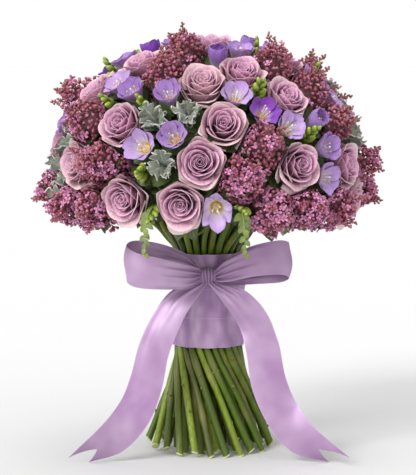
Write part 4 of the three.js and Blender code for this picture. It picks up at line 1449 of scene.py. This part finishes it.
TAILS = {  # out, front, up, half width in mm, and the lean of its width to the front and up: from knot to end
    "left": np.array((
        (4.4, -48.2, 187.3, 4, 0, 0.1), (29, -60, 172, 14, 0.3, 0.55), (45, -66, 148, 16.5, 0.3, 0.5),
        (58, -72, 118, 17, 0.2, 0.35), (66, -79, 84, 18, 0.1, 0.3), (78, -86, 54, 19, 0.1, 0.6),
        (101, -94, 27, 19, -0.3, 1), (137, -108, 6.1, 19, -1, 0.36))),
    "right": np.array((
        (4.4, -48.2, 187.3, 4, 0, 0.1), (30, -61, 172, 15, -0.4, 0.6), (48, -67, 150, 17, -0.3, 0.45),
        (58, -72, 122, 18, 0.1, 0.2), (65, -79, 84, 19, 0.1, 0.2), (79, -86, 52, 19, 0.1, 0.5),
        (100, -94, 26, 19, -0.3, 1), (139, -107, 6.1, 19, -1, 0.36))),
}
# A lay gives the places of a strip's corners from where they are across (-1 to 1) and along it (0 to 1).


def strip_lay(middle, half, relief):
    """A strip bent along a path, with its half width and its relief outwards in metres."""
    def lay(across, along):
        centre, width = middle(along), half(along)
        onward = middle(np.clip(along + 0.01, 0, 1)) - middle(np.clip(along - 0.01, 0, 1))
        out = units(np.cross(onward, width))
        return centre + width * across[:, None] + out * relief(across, along)[:, None]
    return lay


def creases(across, near, seed, count, depth):
    """Valleys that start at the knot, each with its own place, width and length; near is 0 at the knot."""
    dice = np.random.default_rng(seed)
    relief = 0
    for place in np.linspace(-0.8, 0.8, count) + dice.normal(0, 0.08, count):
        width, length = dice.uniform(0.10, 0.2), dice.uniform(0.3, 0.95)
        fade = np.clip(1 - near / length, 0, 1)**1.5
        valley = np.exp(-((across - place) / (width * (1 + near)))**2)
        relief = relief - depth * dice.uniform(0.6, 1.2) * fade * valley
    return relief


def wrap_lay(across, along):
    """Level for a turn, then up by most of its width at the back; each turn lies over the one below."""
    turn = along * WRAP_TURNS
    ramp = np.clip((turn - 1) / 0.2, 0, 1) + np.clip((turn - 2) / 0.2, 0, 1)
    z = WRAP_LEVEL + WRAP_RISE * ramp + across * RIBBON_WIDTH / 2
    angle = turn * 2 * math.pi + math.pi / 2 - 0.6
    broad = 1.8 * np.sin(angle * 10 - 2.4 * np.sin(z / 0.013))
    ripple = (np.sin(angle * 17 + 1.8 * z / 0.03) + broad) * 0.0006
    crease = np.sin(z / 0.0045 + 2 * np.sin(angle * 2.0)) * 0.00012
    below = WRAP_EDGE + WRAP_RISE * np.floor(turn)
    over = np.clip((below - z) / 0.002, 0, 1) * (turn >= 1) + np.clip((turn - 2.98) / 0.02, 0, 1)
    out = WRAP_RADIUS + WRAP_OVERLAP * over + ripple + crease
    return columns(out * np.cos(angle), out * np.sin(angle), z)


def knot_lay(pleats):
    """The pleated band of the knot, once round."""
    def lay(across, along):
        angle = along * 2 * math.pi
        pleat = 1.5 * np.sin(across * (pleats + 1) * math.pi + 0.9 * np.sin(angle))
        pleat *= 1 - 0.3 * np.abs(across)
        bulge = 1 - 0.22 * across**2
        half = KNOT_HALF * (0.80 + 0.20 * np.abs(np.cos(angle)))
        x = across * half + 0.6 * np.sin(angle) * np.sin(across * 3)
        y = KNOT_FRONT - (5.2 * bulge + pleat) * np.cos(angle)
        z = KNOT_LEVEL + (7.7 * bulge + pleat) * np.sin(angle)
        return columns(x, y, z) * MM
    return lay


def loop_lay(side, tilt, rise, pleats):
    """A loop of the bow, gathered at both ends and round in between."""
    spots = LOOP[:, :3] * (side, 1, 1) + LOOP[:, 3:] * (0, 0, tilt)
    spots[:, 2] += rise * ((LOOP[:, 0] - LOOP_START) / LOOP_REACH)**1.5
    slim, wide = LOOP_HALVES

    def middle(t):
        return through(spots, t) * MM

    def half(t):
        size = slim + (wide - slim) * np.sin(math.pi * np.clip(t, 0, 1))**0.55
        return units(columns(side * 0.14 * (1 - 2 * t), 0 * t, 1 + 0 * t)) * size[:, None] * MM

    def relief(across, along):
        near = np.abs(1 - 2 * along)
        gather = np.clip((near - 0.35) / 0.65, 0, 1)**1.3
        fold = 2.0 * np.cos(across * pleats * math.pi * 0.9 + side) * gather
        belly = 2.2 * (1 - across**2) * np.sin(math.pi * along)**0.5
        wave = 0.9 * np.sin(across * 3 + along * 9 + side) * np.sin(math.pi * along)
        wave = wave + creases(across, 1 - near, 40 + side, 5, 1.7)
        return side * (fold + wave) * MM - side * belly * MM

    return strip_lay(middle, half, relief)


def tail_lay(table, side, pleats):
    """A tail of the bow: gathered at the knot, cupped below it, waved, and cut to a swallowtail."""
    spots, lean = table[:, :3] * (side, 1, 1), table[:, 4:5]
    widths = np.hstack((side * (1 - 0.35 * np.abs(lean)), lean, table[:, 5:6]))
    widths *= (table[:, 3] / np.linalg.norm(widths, axis=1))[:, None]

    def middle(t):
        return through(spots, t) * MM

    def half(t):
        return through(widths, t) * MM

    def relief(across, along):
        gather = np.clip(1 - along / 0.35, 0, 1)
        fold = 1.6 * np.cos(across * pleats * math.pi * 0.6) * gather**1.5
        fold = fold + creases(across, along, 50 + side, 4, 2.0)
        cup = 2.5 * (1 - across**2) * np.exp(-((along - 0.28) / 0.2)**2)
        held = np.clip(along * 3, 0, 1) * np.clip((0.93 - along) * 5, 0, 1)
        return side * (fold + cup + 1.2 * np.sin(along * 14 + across * 1.5) * held) * MM

    def lay(across, along):
        cut = 0.075 * (1 - np.abs(across)) * np.clip((along - 0.8) / 0.2, 0, 1)
        return strip_lay(middle, half, relief)(across, along * (1 - cut))

    return lay


def ribbon(name, across_steps, along_steps, lay):
    """A strip of satin."""
    strip, across, along = grid(name, across_steps, along_steps)
    move_points(strip, lay(across, along))
    mark(strip, across=across, along=along)
    thicken(strip, RIBBON_THICK)
    smooth(strip, 80)
    return strip


def satin_finish():
    """Woven satin with a pale edge, soft patches of painted highlight and shade, and bands of painted
    highlight and shade where it winds round the stems.
    """
    finish = Finish("satin", Metallic=0.24, Roughness=0.4, Anisotropic=0.5, Specular_IOR_Level=0.4,
                    Sheen_Weight=0.2, Sheen_Roughness=0.3)
    across, along, wound = finish.read("across"), finish.read("along"), finish.read("wound")
    inputs = {"Vector": finish.vector(across, along, 0.0), "Scale": 60.0, "Distortion": 0.6}
    weave = finish.node("TexWave", inputs, wave_type="BANDS", bands_direction="X").outputs["Fac"]
    # The light and dark bands on the wrap are painted highlight and painted shade, as its ripples would catch
    # the light.
    bands = finish.stretched((62.0, 40.0, 26.0), detail=1)
    dark, light = (finish.maths("MULTIPLY", finish.span(bands, start, full), wound)
                   for start, full in ((0.46, 0.66), (0.44, 0.30)))
    # The soft light and dark patches over all the satin are painted highlight and shade.
    colour = finish.layers(
        finish.mix(finish.span(finish.noise(22.0, detail=2), 0.35, 0.7), (181, 152, 184), (155, 119, 160)),
        (dark, 0.0, 1.0, 0.5, (122, 74, 136)),
        (light, 0.0, 1.0, 0.5, (212, 190, 214)),
        (weave, 0.2, 0.9, 0.12, (210, 188, 220)),
        (finish.maths("ABSOLUTE", across), 0.955, 0.975, 0.5, (196, 170, 208)))
    finish.tree.links.new(finish.span(weave, 0.0, 1.0, 0.38, 0.48), finish.shader.inputs["Roughness"])
    return finish.paint(colour, weave, 0.00004, 0.35)


class RibbonSettings(bpy.types.PropertyGroup):
    pleats: whole("Pleats", "Pleats where the ribbon is gathered at the knot", 4, 1, 8)


class BOUQUET_OT_ribbon(bpy.types.Operator):
    """Wind the satin ribbon round the neck and tie it in a bow"""
    bl_idname = "bouquet.ribbon"
    bl_label = "Ribbon"
    settings = "ribbon"

    def execute(self, context):
        pleats = context.scene.bouquet_ribbon.pleats
        satin = satin_finish()

        wrap = ribbon("satin_wrap", 24, 540, wrap_lay)
        # Only the wrap gets the bands of painted highlight and shade.
        mark(wrap, wound=1.0)
        dress(wrap, satin, "satin_ribbon", "ribbon_wrap")

        knot = ribbon("satin_knot", 120, 48, knot_lay(pleats))
        dress(knot, satin, "satin_ribbon", "bow_knot")

        for name, side, tilt, rise in LOOPS:
            loop = ribbon("satin_loop_" + name, 40, 110, loop_lay(side, tilt, rise, pleats))
            dress(loop, satin, "satin_ribbon", "bow_loop_" + name)

        for name, side in (("left", -1), ("right", 1)):
            tail = ribbon("satin_tail_" + name, 30, 120, tail_lay(TAILS[name], side, pleats))
            dress(tail, satin, "satin_ribbon", "bow_tail_" + name)
        return {"FINISHED"}


# ---- Stage ----
SOFT_SIDE = unit(np.array((-0.6, -0.6, 0.55)))  # where the light from all round is strongest
LIGHTS = (  # name, direction, share of the key's strength, and angle in degrees
    ("key_light", (-0.7, -0.8, 0.75), 1.0, 22), ("fill_light", (0.9, -0.7, 0.5), 0.2, 60),
    ("top_light", (0.2, 0.35, 1.0), 0.35, 40),
)
CAMERA_PLACE, CAMERA_AIM = (0, -2.2, 0.45), (0, 0, 0.232)
SENSOR_HEIGHT, LENS = 36.0, 152.3  # in mm


class StageSettings(bpy.types.PropertyGroup):
    white: amount("White", "Brightness of the backdrop and floor", 1.0)
    soft: amount("Soft light", "Light from all round", 0.68)
    slope: amount("Slope", "How much more of it comes from the key's side", 0.62)
    key: amount("Key light", "Strength of the wide light from the front left", 1.75)


def wide_light(name, direction, strength, angle):
    """A light that falls evenly on everything from one direction, softened by its angle in degrees."""
    pick()
    bpy.ops.object.light_add(type="SUN", location=Vector(direction) * 3)
    light = named(name)
    light.data.energy, light.data.angle = strength, math.radians(angle)
    light.rotation_euler = Vector(direction).to_track_quat("Z", "Y").to_euler()


def surroundings(settings):
    """A white backdrop, and light from all round that is stronger from the soft side."""
    world = bpy.data.worlds.new("studio")
    world.use_nodes = True
    nodes, links = world.node_tree.nodes, world.node_tree.links
    light, sky, output = nodes["Background"], nodes.new("ShaderNodeBackground"), nodes["World Output"]
    light.inputs["Color"].default_value = sky.inputs["Color"].default_value = (1.0, 1.0, 1.0, 1.0)
    sky.inputs["Strength"].default_value = settings.white
    towards = nodes.new("ShaderNodeVectorMath")
    towards.operation = "DOT_PRODUCT"
    towards.inputs[1].default_value = SOFT_SIDE
    strength = nodes.new("ShaderNodeMapRange")
    for socket, value in (("From Min", -1), ("From Max", 1), ("To Min", settings.soft - settings.slope),
                          ("To Max", settings.soft + settings.slope)):
        strength.inputs[socket].default_value = value
    seen, mix = nodes.new("ShaderNodeLightPath"), nodes.new("ShaderNodeMixShader")
    for start, end in (
            (nodes.new("ShaderNodeTexCoord").outputs["Generated"], towards.inputs[0]),
            (towards.outputs["Value"], strength.inputs["Value"]),
            (strength.outputs["Result"], light.inputs["Strength"]),
            (seen.outputs["Is Camera Ray"], mix.inputs[0]),
            (light.outputs[0], mix.inputs[1]),
            (sky.outputs[0], mix.inputs[2]),
            (mix.outputs[0], output.inputs["Surface"])):
        links.new(start, end)
    return world


class BOUQUET_OT_stage(bpy.types.Operator):
    """Set the pale floor, the soft studio light and the camera"""
    bl_idname = "bouquet.stage"
    bl_label = "Stage"
    settings = "stage"

    def execute(self, context):
        scene, settings = context.scene, context.scene.bouquet_stage
        fallen = settings.soft + settings.slope * SOFT_SIDE[2] * 2 / 3
        for name, direction, share, angle in LIGHTS:
            wide_light(name, direction, settings.key * share, angle)
            fallen += settings.key * share * direction[2] / np.linalg.norm(direction) / math.pi
        # The floor gives back just the white of the backdrop, so no horizon shows.
        white = settings.white / fallen
        floor = primitive("plane", "studio_floor", size=60)
        finish = Finish("studio_floor", Roughness=1.0, Specular_IOR_Level=0.0)
        floor.data.materials.append(finish.paint(finish.layers(
            (white, white, white, 1.0), (finish.noise(3.0), 0.3, 0.7, 0.01, (0.5, 0.5, 0.5, 1.0)))))
        scene.world = surroundings(settings)
        scene.view_settings.view_transform = "Standard"
        bpy.ops.object.camera_add(location=CAMERA_PLACE)
        camera = bpy.context.active_object
        camera.rotation_euler = (Vector(CAMERA_AIM) - camera.location).to_track_quat("-Z", "Y").to_euler()
        camera.data.sensor_fit, camera.data.sensor_height, camera.data.lens = "VERTICAL", SENSOR_HEIGHT, LENS
        scene.camera = camera
        return {"FINISHED"}


class BOUQUET_PT_panel(bpy.types.Panel):
    """Lists the bouquet's pieces with their settings"""
    bl_idname = "BOUQUET_PT_panel"
    bl_label = "Bouquet"
    bl_space_type = "VIEW_3D"
    bl_region_type = "UI"
    bl_category = "Bouquet"

    def draw(self, context):
        for operator in OPERATORS:
            box = self.layout.box()
            box.operator(operator.bl_idname)
            settings = getattr(context.scene, "bouquet_" + operator.settings)
            for name in settings.__annotations__:
                box.prop(settings, name)


PROPERTIES = {
    "rose": RoseSettings, "lilac": LilacSettings, "freesia": FreesiaSettings, "leaf": LeafSettings,
    "stem": StemSettings, "foliage": FoliageSettings, "ribbon": RibbonSettings, "stage": StageSettings,
}
OPERATORS = (
    BOUQUET_OT_roses, BOUQUET_OT_lilac, BOUQUET_OT_freesias, BOUQUET_OT_silver_leaves,
    BOUQUET_OT_stems, BOUQUET_OT_foliage, BOUQUET_OT_ribbon, BOUQUET_OT_stage,
)


def register():
    for name, group in PROPERTIES.items():
        bpy.utils.register_class(group)
        setattr(bpy.types.Scene, "bouquet_" + name, bpy.props.PointerProperty(type=group))
    for part in (*OPERATORS, BOUQUET_PT_panel):
        bpy.utils.register_class(part)


def unregister():
    for part in (BOUQUET_PT_panel, *reversed(OPERATORS)):
        bpy.utils.unregister_class(part)
    for name, group in PROPERTIES.items():
        delattr(bpy.types.Scene, "bouquet_" + name)
        bpy.utils.unregister_class(group)


def main():
    register()
    for operator in OPERATORS:
        group, name = operator.bl_idname.split(".")
        getattr(getattr(bpy.ops, group), name)()


if __name__ == "__main__":
    main()
